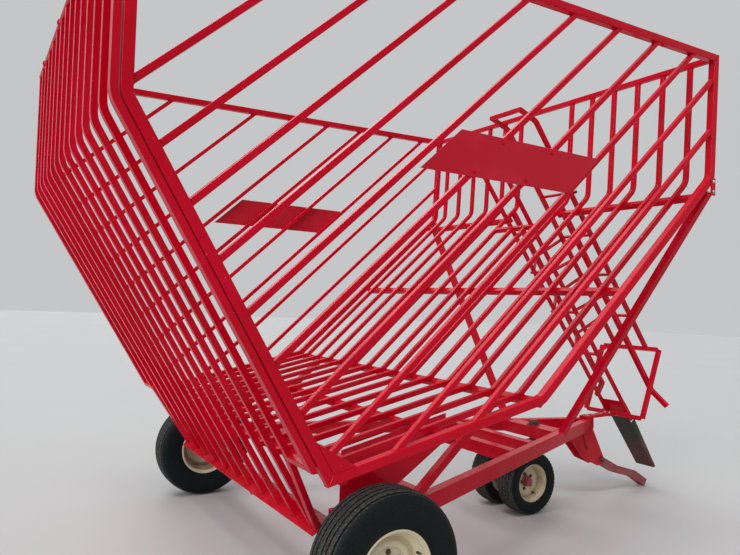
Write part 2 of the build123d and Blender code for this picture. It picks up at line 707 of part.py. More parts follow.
# Tongue bracket: two slotted plates under the tip, with the pivot pin between them.
PLATE_X = TONGUE_WIDTH / 2 + BRACKET_THICK
plate_face = polygon(
    (BRACKET_REAR_Y, frame_z(BRACKET_REAR_Y, -RAIL_DEPTH / 2)),
    (BRACKET_FRONT_Y, frame_z(BRACKET_FRONT_Y, -RAIL_DEPTH / 2)),
    (3304, 366), (3332, 318), (3306, 276), (3240, 268), (3054, 343),
)
slot_run = lean_of(unit(*BRACKET_SLOT))
slot_middle = [(a + b) / 2 for a, b in zip(*BRACKET_SLOT)]
slot_size = SlotCenterToCenter(math.dist(*BRACKET_SLOT), BRACKET_SLOT_WIDTH)
plate_face = plate_face - Pos(*slot_middle) * Rot(0, 0, slot_run) * slot_size
pivot = round_bar(PLATE_X + PIVOT_HEAD, *TONGUE_PIVOT, PIVOT_R)
plates = on_both_sides(lambda sign: across(plate_face, sign * PLATE_X, BRACKET_THICK))
keep("tongue_bracket", plates - pivot)
keep("tongue_pin", pivot)

# Tongue: a bowed bar from the pivot down to the floor, with the hitch hole at its end.
first_run, last_run = unit(TONGUE_PIVOT, TONGUE_BENDS[0]), unit(TONGUE_BENDS[1], TONGUE_END)
heel = (TONGUE_PIVOT[0] - first_run[0] * TONGUE_HEEL, TONGUE_PIVOT[1] - first_run[1] * TONGUE_HEEL)
tongue_face = bent_outline([heel, *TONGUE_BENDS, TONGUE_END], TONGUE_DEPTH, TONGUE_CURVE)
hole_at = (TONGUE_END[0] - last_run[0] * HITCH_INSET, TONGUE_END[1] - last_run[1] * HITCH_INSET)
hole = Pos(0, *hole_at) * Rot(lean_of(last_run), 0, 0) * Cylinder(HITCH_R, 2 * TONGUE_DEPTH)
pivot_hole = round_bar(TONGUE_WIDTH, *TONGUE_PIVOT, PIVOT_R + PIVOT_PLAY)
keep("tongue", across(tongue_face, 0, TONGUE_WIDTH) - hole - pivot_hole)

# Hoop round the chute, on an arm from the frame's tip.
hoop_line = [HOOP_FOOT, HOOP_TOP]
hoop_lean = lean_of(unit(*hoop_line)) - 90
HOOP_X = HOOP_HALF - HOOP_BAR / 2
hoop_sides = on_both_sides(lambda sign: across(bar_outline(hoop_line, HOOP_BAR), sign * HOOP_X, HOOP_BAR))
HOOP_INSIDE = HOOP_HALF - HOOP_BAR
hoop_bars = group(cross_bar(*place, HOOP_INSIDE, HOOP_BAR, HOOP_BAR, hoop_lean) for place in hoop_line)
keep("hoop", group([hoop_sides, hoop_bars]))
arm_start = (TIP_Y - HOOP_ARM_LAP, frame_z(TIP_Y - HOOP_ARM_LAP, (RAIL_DEPTH + HOOP_ARM_THICK) / 2))
arm_end = (HOOP_FOOT[0], frame_z(HOOP_FOOT[0], (RAIL_DEPTH + HOOP_ARM_THICK) / 2))
hoop_arm = across(bar_outline([arm_start, arm_end], HOOP_ARM_THICK), 0, HOOP_ARM_WIDTH)
keep("hoop_arm", largest(hoop_arm - hoop_bars))

# Chute rails, and stays from the hoop's lower bar to the floor rods.
pan_hinge = on_rail(FLOOR_ROD_POINT, PAN_HINGE_Z)
pan_rod = round_bar(FLOOR_ROD_X + FLOOR_ROD / 2 + PAN_ROD_STUB, *pan_hinge, PAN_ROD_R)
rod_path = [on_rail(FLOOR_ROD_POINT, FLOOR_ROD_TOP_Z), down_from(pan_hinge, PAN_EYE_R)]
side_path = [on_rail(SIDE_RAIL_POINT, SIDE_RAIL_TOP_Z), SIDE_RAIL_POINT]
top_path = [on_rail(TOP_RAIL_POINT, HOOP_TOP[1]), on_rail(TOP_RAIL_POINT, TOP_RAIL_BEND_Z), TOP_RAIL_END]
floor_rods = on_both_sides(
    lambda sign: across(bar_outline(rod_path, FLOOR_ROD), sign * FLOOR_ROD_X, FLOOR_ROD) - pan_rod
)
top_face = bent_outline(top_path, TOP_RAIL, TOP_RAIL_BEND)
end_bar = cross_bar(*TOP_RAIL_END, TOP_RAIL_X + TOP_RAIL / 2, TOP_RAIL, TOP_RAIL)
top_rails = on_both_sides(
    lambda sign: largest(across(top_face, sign * TOP_RAIL_X, TOP_RAIL) - hoop_bars - end_bar)
)


def side_rail(sign):
    """A side rail that ends on the floor bars, with its lower end flared outward."""
    straight = across(bar_outline(side_path, SIDE_RAIL), sign * SIDE_RAIL_X, SIDE_RAIL)
    flare_start = (sign * SIDE_RAIL_X, *down_from(SIDE_RAIL_POINT, -SIDE_RAIL / 4))
    flare = strut(flare_start, (sign * FLARE_END[0], *FLARE_END[1:]), SIDE_RAIL, SIDE_RAIL)
    return joined(largest(straight - bars), flare)


side_rails = on_both_sides(side_rail)
keep("chute_floor_rods", floor_rods)
keep("chute_side_rails", side_rails)
keep("chute_top_rails", top_rails)
keep("pan_rod", pan_rod)


def rod_stay(sign):
    """A block from the hoop's lower bar to a floor rod."""
    start = (sign * FLOOR_ROD_X, *HOOP_FOOT)
    rod = on_rail(FLOOR_ROD_POINT, HOOP_FOOT[1] + HOOP_BAR)
    return largest(strut(start, (sign * FLOOR_ROD_X, *rod), TIE, TIE) - hoop_bars - floor_rods)


# Ties across the top rails, and frames that link all six rails at the lower ties.
rail_gap = (TOP_RAIL_POINT[0] - FLOOR_ROD_POINT[0]) * chute_out[0]
rail_gap += (TOP_RAIL_POINT[1] - FLOOR_ROD_POINT[1]) * chute_out[1]
side_gap = (SIDE_RAIL_POINT[0] - FLOOR_ROD_POINT[0]) * chute_out[0]
side_gap += (SIDE_RAIL_POINT[1] - FLOOR_ROD_POINT[1]) * chute_out[1]
all_rails = joined(floor_rods, side_rails, top_rails)
ties = [end_bar]
struts = [rod_stay(sign) for sign in (-1, 1)]
for number, height in enumerate(TIE_HEIGHTS):
    top = on_rail(TOP_RAIL_POINT, height)
    ties.append(cross_bar(*out_from(top, (TOP_RAIL + TIE) / 2), TIE_HALF, TIE, TIE, chute_lean))
    if number >= FRAMED_TIES:
        continue
    side, floor = out_from(top, side_gap - rail_gap), out_from(top, -rail_gap)
    under = out_from(floor, -(FLOOR_ROD + TIE) / 2)
    ties.append(cross_bar(*under, FLOOR_ROD_X + FLOOR_ROD / 2, TIE, TIE, chute_lean))
    for sign in (-1, 1):
        links = (
            ((sign * FLOOR_ROD_X, *floor), (sign * SIDE_RAIL_X, *side)),
            ((sign * SIDE_RAIL_X, *side), (sign * TOP_RAIL_X, *top)),
        )
        for a, b in links:
            struts.append(largest(strut(a, b, CHUTE_STRUT, CHUTE_STRUT) - all_rails))
keep("chute_ties", group(ties))
keep("chute_frames", group(struts))

# Lip: a plate on the floor rods above the pan.
lip_rise = (FLOOR_ROD + LIP_THICK) / 2
lip_path = [out_from(on_rail(FLOOR_ROD_POINT, z), lip_rise) for z in (LIP_HIGH, LIP_LOW)]
keep("chute_lip", across(bar_outline(lip_path, LIP_THICK), 0, 2 * FLOOR_ROD_X + FLOOR_ROD))

# Pan: a tray hinged to the floor rods, whose foot lies over the tongue.
pan_start = down_from(pan_hinge, PAN_ROD_R)
pan_end = down_from(pan_hinge, PAN_LENGTH)
pan = across(bar_outline([pan_start, pan_end], PAN_THICK), 0, 2 * PAN_HALF)
pan = pan + round_bar(PAN_HALF, *pan_hinge, PAN_EYE_R)
flange_start = down_from(pan_hinge, PAN_FLANGE)
flange_face = polygon(
    flange_start,
    pan_end,
    out_from(pan_end, PAN_FOOT_FLANGE),
    out_from(flange_start, PAN_FLANGE),
)
for sign in (-1, 1):
    pan = pan + across(flange_face, sign * (PAN_HALF - PAN_THICK / 2), PAN_THICK)
keep("chute_pan", pan - round_bar(PAN_HALF, *pan_hinge, PAN_ROD_R + PIVOT_PLAY))
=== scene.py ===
import json
import math

import bmesh
import bpy
import numpy as np
from mathutils import Matrix, Vector


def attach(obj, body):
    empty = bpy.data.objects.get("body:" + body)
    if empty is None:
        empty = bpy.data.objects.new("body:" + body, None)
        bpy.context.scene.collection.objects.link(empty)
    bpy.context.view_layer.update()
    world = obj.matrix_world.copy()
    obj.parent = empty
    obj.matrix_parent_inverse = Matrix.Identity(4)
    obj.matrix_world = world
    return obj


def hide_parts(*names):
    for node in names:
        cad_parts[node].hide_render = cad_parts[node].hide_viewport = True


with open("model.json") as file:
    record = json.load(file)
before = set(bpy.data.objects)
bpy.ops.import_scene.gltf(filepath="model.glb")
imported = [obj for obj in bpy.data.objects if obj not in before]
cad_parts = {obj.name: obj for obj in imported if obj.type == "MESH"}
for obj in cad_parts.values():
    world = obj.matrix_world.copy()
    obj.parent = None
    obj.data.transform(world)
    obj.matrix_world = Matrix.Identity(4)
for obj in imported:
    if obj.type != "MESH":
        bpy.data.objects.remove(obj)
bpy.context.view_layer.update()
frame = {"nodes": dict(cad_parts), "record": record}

# Looks of a bale basket wagon. Metres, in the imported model's frame: x to the wagon's right,
# y forward to the tongue, z up. The driving sizes come first, then the tools, then the pieces.

# The rear axle's place along the wagon: other places are given forward of it.
AXLE_Y = -1.2975

# Camera: place, heading to the left of +y, upward pitch, roll and focal length.
CAMERA_AT = (4.214, -1.832, 1.662)
CAMERA_YAW = math.radians(58.64)
CAMERA_PITCH = math.radians(2.377)
CAMERA_ROLL = math.radians(2.297)
FOCAL_PIXELS = 663.753
PHOTO_WIDTH = 740
SENSOR = 36.0

# Rear wheels: place and radius, the tyre's half width, widest radius and squareness, its grooves'
# distances from the middle, its tread's lugs, notches and sway, the rim, the nuts and the valve.
WHEEL_X, WHEEL_R = 1.456, 0.388
TYRE_HALF, TYRE_WIDEST, TYRE_SQUARENESS = 0.125, 0.300, 3.4
REAR_GROOVES = (0.022, 0.056, 0.090)
REAR_LUGS, REAR_NOTCH, REAR_SWAY = 60, 0.0012, 0.0008
RIM_R = 0.208
REAR_NUTS, REAR_NUT_CIRCLE, REAR_NUT_OUT = 6, 0.078, 0.024
REAR_VALVE_R, REAR_VALVE_OUT, REAR_VALVE_ANGLE = 0.170, 0.046, math.radians(20)

# Caster wheels: half-spacing and radius, the axle's place, and the rest in the same order.
CASTER_X, CASTER_R = 0.165, 0.256
CASTER_AXLE_Y = 2.234
CASTER_TYRE_HALF, CASTER_WIDEST, CASTER_SQUARENESS = 0.092, 0.205, 3.6
CASTER_GROOVES = (0.017, 0.048)
CASTER_LUGS, CASTER_NOTCH, CASTER_SWAY = 46, 0.004, 0.006
CASTER_RIM_R = 0.155
CASTER_NUTS, CASTER_NUT_CIRCLE, CASTER_NUT_OUT = 5, 0.062, -0.006
CASTER_VALVE_R, CASTER_VALVE_OUT, CASTER_VALVE_ANGLE = 0.122, -0.006, math.radians(-53)

# Every tyre's grooves, and the shares of their width from the middle to the foot and top of a wall.
GROOVE_WIDTH, GROOVE_DEPTH = 0.009, 0.008
GROOVE_FOOT, GROOVE_TOP = 0.32, 0.50

# Side frame's centre line and its bars, as in the CAD.
SIDE_PATH = np.array([
    (-0.385, 0.867), (0.930, 1.176), (2.479, 2.615),
    (2.507, 3.460), (-1.356, 3.354), (-1.345, 2.438),
])
SIDE_X = 1.555
SIDE_DEPTH = 0.050
SIDE_BAR = 0.032
SIDE_BAR_COUNT = 10
SIDE_BAR_PITCH = 0.250

# Sign plates: lower and upper edge, rear end of the lower edge, length, outer face.
SIGN_LOW, SIGN_HIGH = 2.345, 2.580
SIGN_REAR = 0.040
SIGN_LENGTH = 1.045
SIGN_FACE = 1.574

# Floor bars and the tubes under them, as y and the number of the floor stretch each lies under.
FLOOR_BAR = 0.034
FLOOR_BAR_FIRST, FLOOR_BAR_PITCH = 0.300, 0.216
FLOOR_BARS_PER_SIDE = 6
CROSS_TUBE = 0.044
CROSS_TUBES = ((-0.300, 0), (0.330, 0), (0.935, 1), (1.640, 1), (2.370, 1))
END_RAIL = 0.040
END_RAIL_HALF = 1.530

# A-frame: its rails' plan, section and tilt, and the members between them as (y, length).
FRAME_TIP_Y = 3.190
FRAME_BEND = (1.165, 0.450)
FRAME_RAIL_HALF, FRAME_RAIL_HALF_HIGH = 0.038, 0.051
FRAME_MIDDLE_Z = 0.551
FRAME_TILT = math.radians(1.81)
CASTER_PIN_Y = 2.464
MEMBER_HALF, MEMBER_TOP = 0.048, 0.050
MEMBERS = ((CASTER_PIN_Y, 0.150), (1.950, 0.076), (1.640, 0.076))

# Axle blocks' half size and the beam under them; the tongue bracket's plates and its pin.
BLOCK_HALF_X, BLOCK_HALF_Y = 0.038, 0.060
BEAM_TOP = 0.428
PLATE_FROM, PLATE_TO, PLATE_X, PLATE_HALF = 2.817, 3.170, 0.052, 0.006
TONGUE_PIN = (3.286, 0.320)
TONGUE_PIN_HEAD_X = 0.072

# The braces' end plates on the sills: middle, half width, half length, thickness, bolts up and down.
BRACE_END = (2.476, 2.560)
BRACE_PLATE_HALF_WIDE, BRACE_PLATE_HALF_LONG, BRACE_PLATE_THICK = 0.024, 0.060, 0.006
BRACE_BOLT_RISE = 0.034

# Gate: the pipe it hangs from and its bars.
PIPE_R = 0.020
GATE_BAR = 0.032
GATE_BAR_PITCH = 0.222
GATE_BAR_COUNT = 13
GATE_OFFSET = 0.047

# Chute: its slope, a point of the top rails' line and the ties that lie across them.
CHUTE_SLOPE = 0.801
TOP_RAIL_POINT = (3.222, 2.012)
TOP_RAIL, TOP_RAIL_X = 0.034, 0.170
TIE_HALF = 0.205
TIE_SIZE = 0.024
TIE_RISE = (TOP_RAIL + TIE_SIZE) / 2
TIE_HEIGHTS = (1.642, 2.015, 2.358, 2.706, 3.050)
TIE_PLUG_HALF, TIE_PLUG_THICK = 0.46 * TIE_SIZE, 0.003

# The hoop's foot, half the thickness of its arm, and the bolts through the arm.
HOOP_FOOT = (3.512, 0.725)
ARM_HALF_THICK = 0.012
ARM_BOLT_X, ARM_BOLT_ROWS = 0.024, (3.13, 3.43)

# Bolts, nuts and screws: radius at the head's corners, washer's radius, height with the washer.
WHEEL_NUT = (0.011, 0.0145, 0.013)
ARM_BOLT = (0.012, 0.020, 0.009)
TONGUE_PIN_NUT = (0.021, 0.026, 0.014)
BRACE_BOLT = (0.009, 0.0135, 0.008)
SIGN_SCREW = (0.0065, 0.011, 0.006)
CASTER_PIN_NUT = (0.044, 0.060, 0.034)
WASHER_THICK = 0.002

# Welds: the bead's radius and the number of points round it.
BAR_WELD = (0.0035, 16)
CORNER_WELD = (0.0025, 24)
MEMBER_WELD = (0.004, 32)
BLOCK_WELD = (0.005, 40)
PLATE_WELD = (0.004, 96)

# Edges: shaded smooth below the first angle, rounded above the second, dropped below the third.
SMOOTH_ANGLE = math.radians(38)
ROUNDED_ANGLE = math.radians(30)
FLAT_ANGLE = math.radians(0.5)

# Points closer to each other than this are merged.
SAME_POINT = 1e-6

SIDES = (("right", 1), ("left", -1))


# Tools for places.

def row(y, z):
    """A side-view place, given forward of the rear axle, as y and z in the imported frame."""
    return y + AXLE_Y, z


def unit(vector):
    """A vector's direction."""
    return vector / np.linalg.norm(vector)


def spanned(one, two):
    """The area between two plane vectors, positive where the second is to the left of the first."""
    return one[0] * two[1] - one[1] * two[0]


def ramp(value, start, end):
    """0 before start, 1 past end and a straight line between. The end may be the smaller one."""
    return np.clip((value - start) / (end - start), 0, 1)


def rear_middle(sign):
    """The middle of the rear wheel on one side."""
    return sign * WHEEL_X, *row(0.0, WHEEL_R)


def caster_middle(sign):
    """The middle of the caster wheel on one side."""
    return sign * CASTER_X, *row(CASTER_AXLE_Y, CASTER_R)


def on_wheel(middle, sign, radius, angle, out):
    """A place on a wheel: at a radius, an angle up from straight ahead, and a distance out."""
    x, y, z = middle
    return x + sign * out, y + radius * math.cos(angle), z + radius * math.sin(angle)


# Tools for shapes: arrays of points and of the faces between them.

def surface(grid, wrap_rows=False, wrap_columns=False):
    """Faces of a grid of points, one a cell; a wrapped direction joins its last line to its first."""
    rows, columns = grid.shape[:2]
    index = np.arange(rows * columns).reshape(rows, columns)
    if wrap_rows:
        index = np.vstack([index, index[:1]])
    if wrap_columns:
        index = np.hstack([index, index[:, :1]])
    cells = (index[:-1, :-1], index[1:, :-1], index[1:, 1:], index[:-1, 1:])
    return grid.reshape(-1, 3), np.stack(cells, -1).reshape(-1, 4)


def outward(points, faces):
    """The same closed surface with its faces turned outward, by the sign of its volume."""
    corners = points[faces]
    volume = 0.0
    for k in range(1, faces.shape[1] - 1):
        volume += np.einsum("ij,ij->", corners[:, 0], np.cross(corners[:, k], corners[:, k + 1]))
    return points, faces if volume > 0 else faces[:, ::-1]


def merged(parts):
    """Several closed surfaces as one."""
    points, faces, start = [], [], 0
    for part_points, part_faces in parts:
        points.append(part_points)
        faces.append(part_faces + start)
        start += len(part_points)
    return np.vstack(points), np.vstack(faces)


def directed(points, place, axis):
    """Points drawn about +x moved to a place with +x turned to an axis."""
    turn = Vector((1, 0, 0)).rotation_difference(Vector(axis)).to_matrix()
    return points @ np.array(turn).T + np.array(place)


def turned(along, radius, angle):
    """Points at a distance along x and at a radius round it, for each angle."""
    return np.stack([along, radius * np.cos(angle), radius * np.sin(angle)], -1)


def lathe(profile, place, axis, steps, sides=0, closed=False):
    """A profile of (radius, distance along) turned round its axis: each point is at the distance
    along and at the radius round it. With sides, the radius follows a regular polygon. A closed
    profile's last point is joined to its first."""
    profile = np.asarray(profile, float)
    angle = np.linspace(0, 2 * math.pi, steps, endpoint=False)[:, None]
    radius = np.broadcast_to(profile[:, 0], (steps, len(profile))).copy()
    if sides:
        half = math.pi / sides
        radius *= math.cos(half) / np.cos(np.mod(angle, 2 * half) - half)
    along = np.broadcast_to(profile[:, 1], radius.shape)
    points, faces = surface(turned(along, radius, angle), wrap_rows=True, wrap_columns=closed)
    return outward(directed(points, place, axis), faces)


def rounded(corners, radius, steps=4):
    """A closed outline with each corner replaced by an arc: the curve from a point before the corner
    to one after it, pulled toward the corner. Radius, one or one a corner, is cut back where the
    sides are short."""
    corners = np.asarray(corners, float)
    radii = np.broadcast_to(radius, len(corners))
    share = np.linspace(0, 1, steps + 1)[:, None]
    curve = []
    for before, at, after, size in zip(np.roll(corners, 1, 0), corners, np.roll(corners, -1, 0), radii):
        back, ahead = before - at, after - at
        reach = min(size, 0.45 * np.linalg.norm(back), 0.45 * np.linalg.norm(ahead))
        start = at + unit(back) * reach
        end = at + unit(ahead) * reach
        curve.append((1 - share) ** 2 * start + 2 * share * (1 - share) * at + share ** 2 * end)
    return np.vstack(curve)


def plate(place, axis, turn, half_wide, half_long, thick):
    """A thin plate standing on a place, its face along an axis, turned about that axis: a rounded
    rectangle carried through its thickness."""
    wide = np.array([(-1, -1), (1, -1), (1, 1), (-1, 1)]) * (half_wide, half_long)
    flat = rounded(wide, min(half_wide, half_long) * 0.3, 2)
    cos, sin = math.cos(turn), math.sin(turn)
    flat = flat @ np.array([(cos, sin), (-sin, cos)])
    along = np.array([0, thick, thick, 0])
    size = np.array([1, 1, 0, 0])
    grid = np.stack([
        np.broadcast_to(along, (len(flat), 4)),
        flat[:, :1] * size,
        flat[:, 1:] * size,
    ], -1)
    points, faces = surface(grid, wrap_rows=True, wrap_columns=True)
    return outward(directed(points, place, axis), faces)


def bead(centre, across, along, half_across, half_along, weld=BAR_WELD):
    """A weld round a bar's end: a rippled tube carried round a rounded rectangle, whose points are
    the cosine and sine of an angle, each drawn toward 1 by a small power."""
    radius, steps = weld
    corner, ripple = 0.35, 0.25
    angle = np.linspace(0, 2 * math.pi, steps, endpoint=False)
    flat = np.sign(np.cos(angle)) * np.abs(np.cos(angle)) ** corner
    tall = np.sign(np.sin(angle)) * np.abs(np.sin(angle)) ** corner
    across, along = np.array(across, float), np.array(along, float)
    middle = np.array(centre) + np.outer(flat * half_across, across) + np.outer(tall * half_along, along)
    out = np.outer(np.cos(angle), across) + np.outer(np.sin(angle), along)
    up = np.cross(across, along)
    swell = radius * (1 + ripple * np.cos(angle * steps / 2))[:, None]
    turn = np.arange(4) * math.pi / 2
    ring = [middle + swell * (np.cos(t) * out + np.sin(t) * up) for t in turn]
    return outward(*surface(np.stack(ring, 1), wrap_rows=True, wrap_columns=True))


def hex_bolt(place, axis, sizes):
    """A washer and a hexagon head with a bevelled top, each a profile turned round the axis."""
    corner, washer, top = sizes
    ring = [(0, 0), (washer, 0), (washer, WASHER_THICK), (0, WASHER_THICK)]
    head = [(0, WASHER_THICK), (corner, WASHER_THICK), (corner, top * 0.8), (corner * 0.86, top), (0, top)]
    return [
        lathe(ring, place, axis, steps=24),
        lathe(head, place, axis, steps=24, sides=6),
    ]


# Tools for pieces.

def finish_mesh(mesh, material):
    """Merges doubles, drops edges left without a face, shades the gentle edges smooth and gives the
    mesh its material."""
    work = bmesh.new()
    work.from_mesh(mesh)
    bmesh.ops.remove_doubles(work, verts=work.verts, dist=SAME_POINT)
    bmesh.ops.delete(work, geom=[edge for edge in work.edges if edge.is_wire], context="EDGES")
    work.to_mesh(mesh)
    work.free()
    mesh.materials.clear()
    mesh.materials.append(material)
    mesh.shade_smooth()
    mesh.set_sharp_from_angle(angle=SMOOTH_ANGLE)


def new_piece(name, parts, body, material, replaces=()):
    """A piece made of closed surfaces, riding on a body, with its finish and what it stands for."""
    points, faces = merged(parts)
    mesh = bpy.data.meshes.new(name)
    mesh.from_pydata(points.tolist(), [], faces.tolist())
    finish_mesh(mesh, material)
    piece = bpy.data.objects.new(name, mesh)
    bpy.context.scene.collection.objects.link(piece)
    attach(piece, body)
    if replaces:
        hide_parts(*replaces)


# Tools for finishes.

class Value:
    """A number that varies over a surface. Arithmetic on it adds Math nodes."""

    def __init__(self, shading, socket):
        self.shading, self.socket = shading, socket

    def maths(self, operation, *terms):
        """A Math node of the operation on these terms, each a Value, a socket or a number."""
        return self.shading.value("ShaderNodeMath", {"operation": operation}, dict(enumerate(terms)))

    def __add__(self, other):
        return self.maths("ADD", self, other)

    def __sub__(self, other):
        return self.maths("SUBTRACT", self, other)

    def __rsub__(self, other):
        return self.maths("SUBTRACT", other, self)

    def __mul__(self, other):
        return self.maths("MULTIPLY", self, other)

    def __pow__(self, other):
        return self.maths("POWER", self, other)

    __radd__ = __add__
    __rmul__ = __mul__

    def size(self):
        """The value without its sign."""
        return self.maths("ABSOLUTE", self)

    def held(self):
        """The value kept between 0 and 1."""
        return self.maths("MINIMUM", self.maths("MAXIMUM", self, 0.0), 1.0)

    def between(self, low, high):
        """0 below low, 1 above high and a smooth rise from one to the other."""
        return self.shading.value(
            "ShaderNodeMapRange", {"interpolation_type": "SMOOTHSTEP"},
            {"Value": self, "From Min": low, "From Max": high},
        )


class Shading:
    """A tree of shader nodes, and the way in which nodes are added to it."""

    def __init__(self, tree):
        self.tree = tree

    def node(self, kind, settings=None, inputs=None):
        """A node of a type, with its settings and then its sockets' values or links."""
        node = self.tree.nodes.new(kind)
        for key, value in (settings or {}).items():
            setattr(node, key, value)
        for key, value in (inputs or {}).items():
            if isinstance(value, Value):
                value = value.socket
            if isinstance(value, bpy.types.NodeSocket):
                self.tree.links.new(value, node.inputs[key])
            else:
                node.inputs[key].default_value = value
        return node

    def value(self, kind, settings=None, inputs=None, output=0):
        """A node's number as a Value."""
        return Value(self, self.node(kind, settings, inputs).outputs[output])


class Finish(Shading):
    """A material with one Principled shader, and the nodes that vary it."""

    def __init__(self, name, roughness, coat=0.0, metallic=0.0, specular=0.5):
        self.material = bpy.data.materials.new(name)
        self.material.use_nodes = True
        super().__init__(self.material.node_tree)
        self.shader = self.tree.nodes["Principled BSDF"]
        self.shader.inputs["Roughness"].default_value = roughness
        self.shader.inputs["Coat Weight"].default_value = coat
        self.shader.inputs["Coat Roughness"].default_value = 0.08
        self.shader.inputs["Metallic"].default_value = metallic
        self.shader.inputs["Specular IOR Level"].default_value = specular
        self.place = self.node("ShaderNodeTexCoord").outputs["Object"]

    def noise(self, scale, detail=3.0, roughness=0.55):
        """Noise of about 0 to 1 in the piece's own space."""
        inputs = {"Vector": self.place, "Scale": scale, "Detail": detail, "Roughness": roughness}
        return self.value("ShaderNodeTexNoise", {}, inputs)

    def mixed(self, share, first, second):
        """A colour that goes from the first to the second as share goes from 0 to 1."""
        node = self.node("ShaderNodeMix", {"data_type": "RGBA"}, {"Factor": share})
        for name, colour in (("A", first), ("B", second)):
            socket = [s for s in node.inputs if s.name == name and s.type == "RGBA"][0]
            if isinstance(colour, bpy.types.NodeSocket):
                self.tree.links.new(colour, socket)
            else:
                socket.default_value = (*colour, 1.0)
        return [s for s in node.outputs if s.type == "RGBA"][0]

    def place_part(self, axis):
        """One coordinate of the place, as a Value."""
        return self.value("ShaderNodeSeparateXYZ", {}, {"Vector": self.place}, output=axis)

    def facing_up(self):
        """1 where the surface looks straight up, 0 where it stands or looks down."""
        normal = self.node("ShaderNodeNewGeometry").outputs["Normal"]
        return self.value("ShaderNodeSeparateXYZ", {}, {"Vector": normal}, output=2).held()

    def feed(self, **sockets):
        """Links values or colours to the shader's sockets, such as Base_Color."""
        for name, value in sockets.items():
            socket = value.socket if isinstance(value, Value) else value
            self.tree.links.new(socket, self.shader.inputs[name.replace("_", " ")])

    def bump(self, height, distance, strength):
        """Raises the surface by a height, of the given distance at 1."""
        inputs = {"Height": height, "Distance": distance, "Strength": strength}
        self.feed(Normal=self.node("ShaderNodeBump", {}, inputs).outputs["Normal"])


def gloss_red():
    """Sprayed gloss enamel: slow tone changes, orange peel, pale dust on what faces up, small worn
    scuffs, and a layer of road dust that grows toward the floor."""
    finish = Finish("gloss_red_enamel", 0.3, coat=0.12, specular=0.06)
    tone = finish.noise(1.3, 2.0)
    blotch = finish.noise(9.0, 5.0).between(0.45, 0.75)
    dust = (finish.facing_up() * finish.noise(22.0, 4.0).between(0.35, 0.8) * 0.04).held()
    base = finish.mixed(tone.between(0.3, 0.7), (0.56, 0.001, 0.014), (0.66, 0.002, 0.023))
    base = finish.mixed(blotch * 0.18, base, (0.36, 0.0, 0.008))
    base = finish.mixed(dust, base, (0.62, 0.34, 0.32))
    low = (0.95 - finish.place_part(2)).between(0.0, 0.7)
    road = low * finish.noise(5.0, 6.0, 0.65).between(0.35, 0.7)
    scuff = finish.noise(75.0, 3.0, 0.6).between(0.69, 0.76)
    base = finish.mixed(road * 0.14, base, (0.36, 0.20, 0.18))
    base = finish.mixed(scuff * 0.45, base, (0.66, 0.34, 0.32))
    finish.feed(Base_Color=base, Roughness=0.2 + 0.14 * blotch + 0.3 * road + 0.3 * scuff)
    finish.bump(finish.noise(60.0, 2.0), 0.0006, 0.2)
    return finish.material


def sign_red():
    """Satin red on the bare sign plates, a little faded toward pink in patches."""
    finish = Finish("sign_plate_red", 0.5, specular=0.3)
    faded = finish.noise(4.0, 4.0).between(0.4, 0.75)
    base = finish.mixed(faded, (0.54, 0.002, 0.018), (0.60, 0.012, 0.034))
    finish.feed(Base_Color=base, Roughness=0.42 + 0.15 * faded)
    finish.bump(finish.noise(30.0, 3.0), 0.0008, 0.3)
    return finish.material


def dusty_red():
    """Older red paint under road dust and scuffs, with brown rust where it has worn through."""
    finish = Finish("dusty_red_paint", 0.6)
    dust = finish.noise(7.0, 6.0, 0.65).between(0.32, 0.72)
    rust = finish.noise(26.0, 6.0, 0.7).between(0.62, 0.74)
    base = finish.mixed(dust, (0.27, 0.018, 0.024), (0.38, 0.13, 0.115))
    base = finish.mixed(rust * 0.7, base, (0.13, 0.055, 0.03))
    finish.feed(Base_Color=base, Roughness=0.42 + 0.35 * dust)
    finish.bump(finish.noise(90.0, 5.0), 0.0008, 0.5)
    return finish.material


def rubber(name, middle, tread_from, tread_to, grooves=()):
    """Tyre rubber: near black walls, and a grey scuffed tread where the distance from the axle
    through the wheel's middle is large, except in the grooves, given by how far out they are."""
    finish = Finish(name, 0.75, specular=0.14)
    wheel_x, axle_y, axle_z = middle
    forward = finish.place_part(1) - axle_y
    up = finish.place_part(2) - axle_z
    radius = (forward * forward + up * up) ** 0.5
    tread = radius.between(tread_from, tread_to)
    from_middle = (finish.place_part(0).size() - wheel_x).size()
    for groove in grooves:
        tread = tread * (from_middle - groove).size().between(0.0035, 0.0060)
    scuff = finish.noise(90.0, 5.0, 0.6)
    base = finish.mixed(scuff.between(0.35, 0.75), (0.004, 0.0072, 0.0082), (0.009, 0.0135, 0.0145))
    base = finish.mixed(tread * (0.25 + 0.75 * scuff.between(0.40, 0.64)), base, (0.094, 0.092, 0.086))
    finish.feed(Base_Color=base, Roughness=0.55 + 0.3 * scuff * tread + 0.1 * scuff)
    finish.bump(finish.noise(420.0, 3.0), 0.0005, 0.4)
    return finish.material


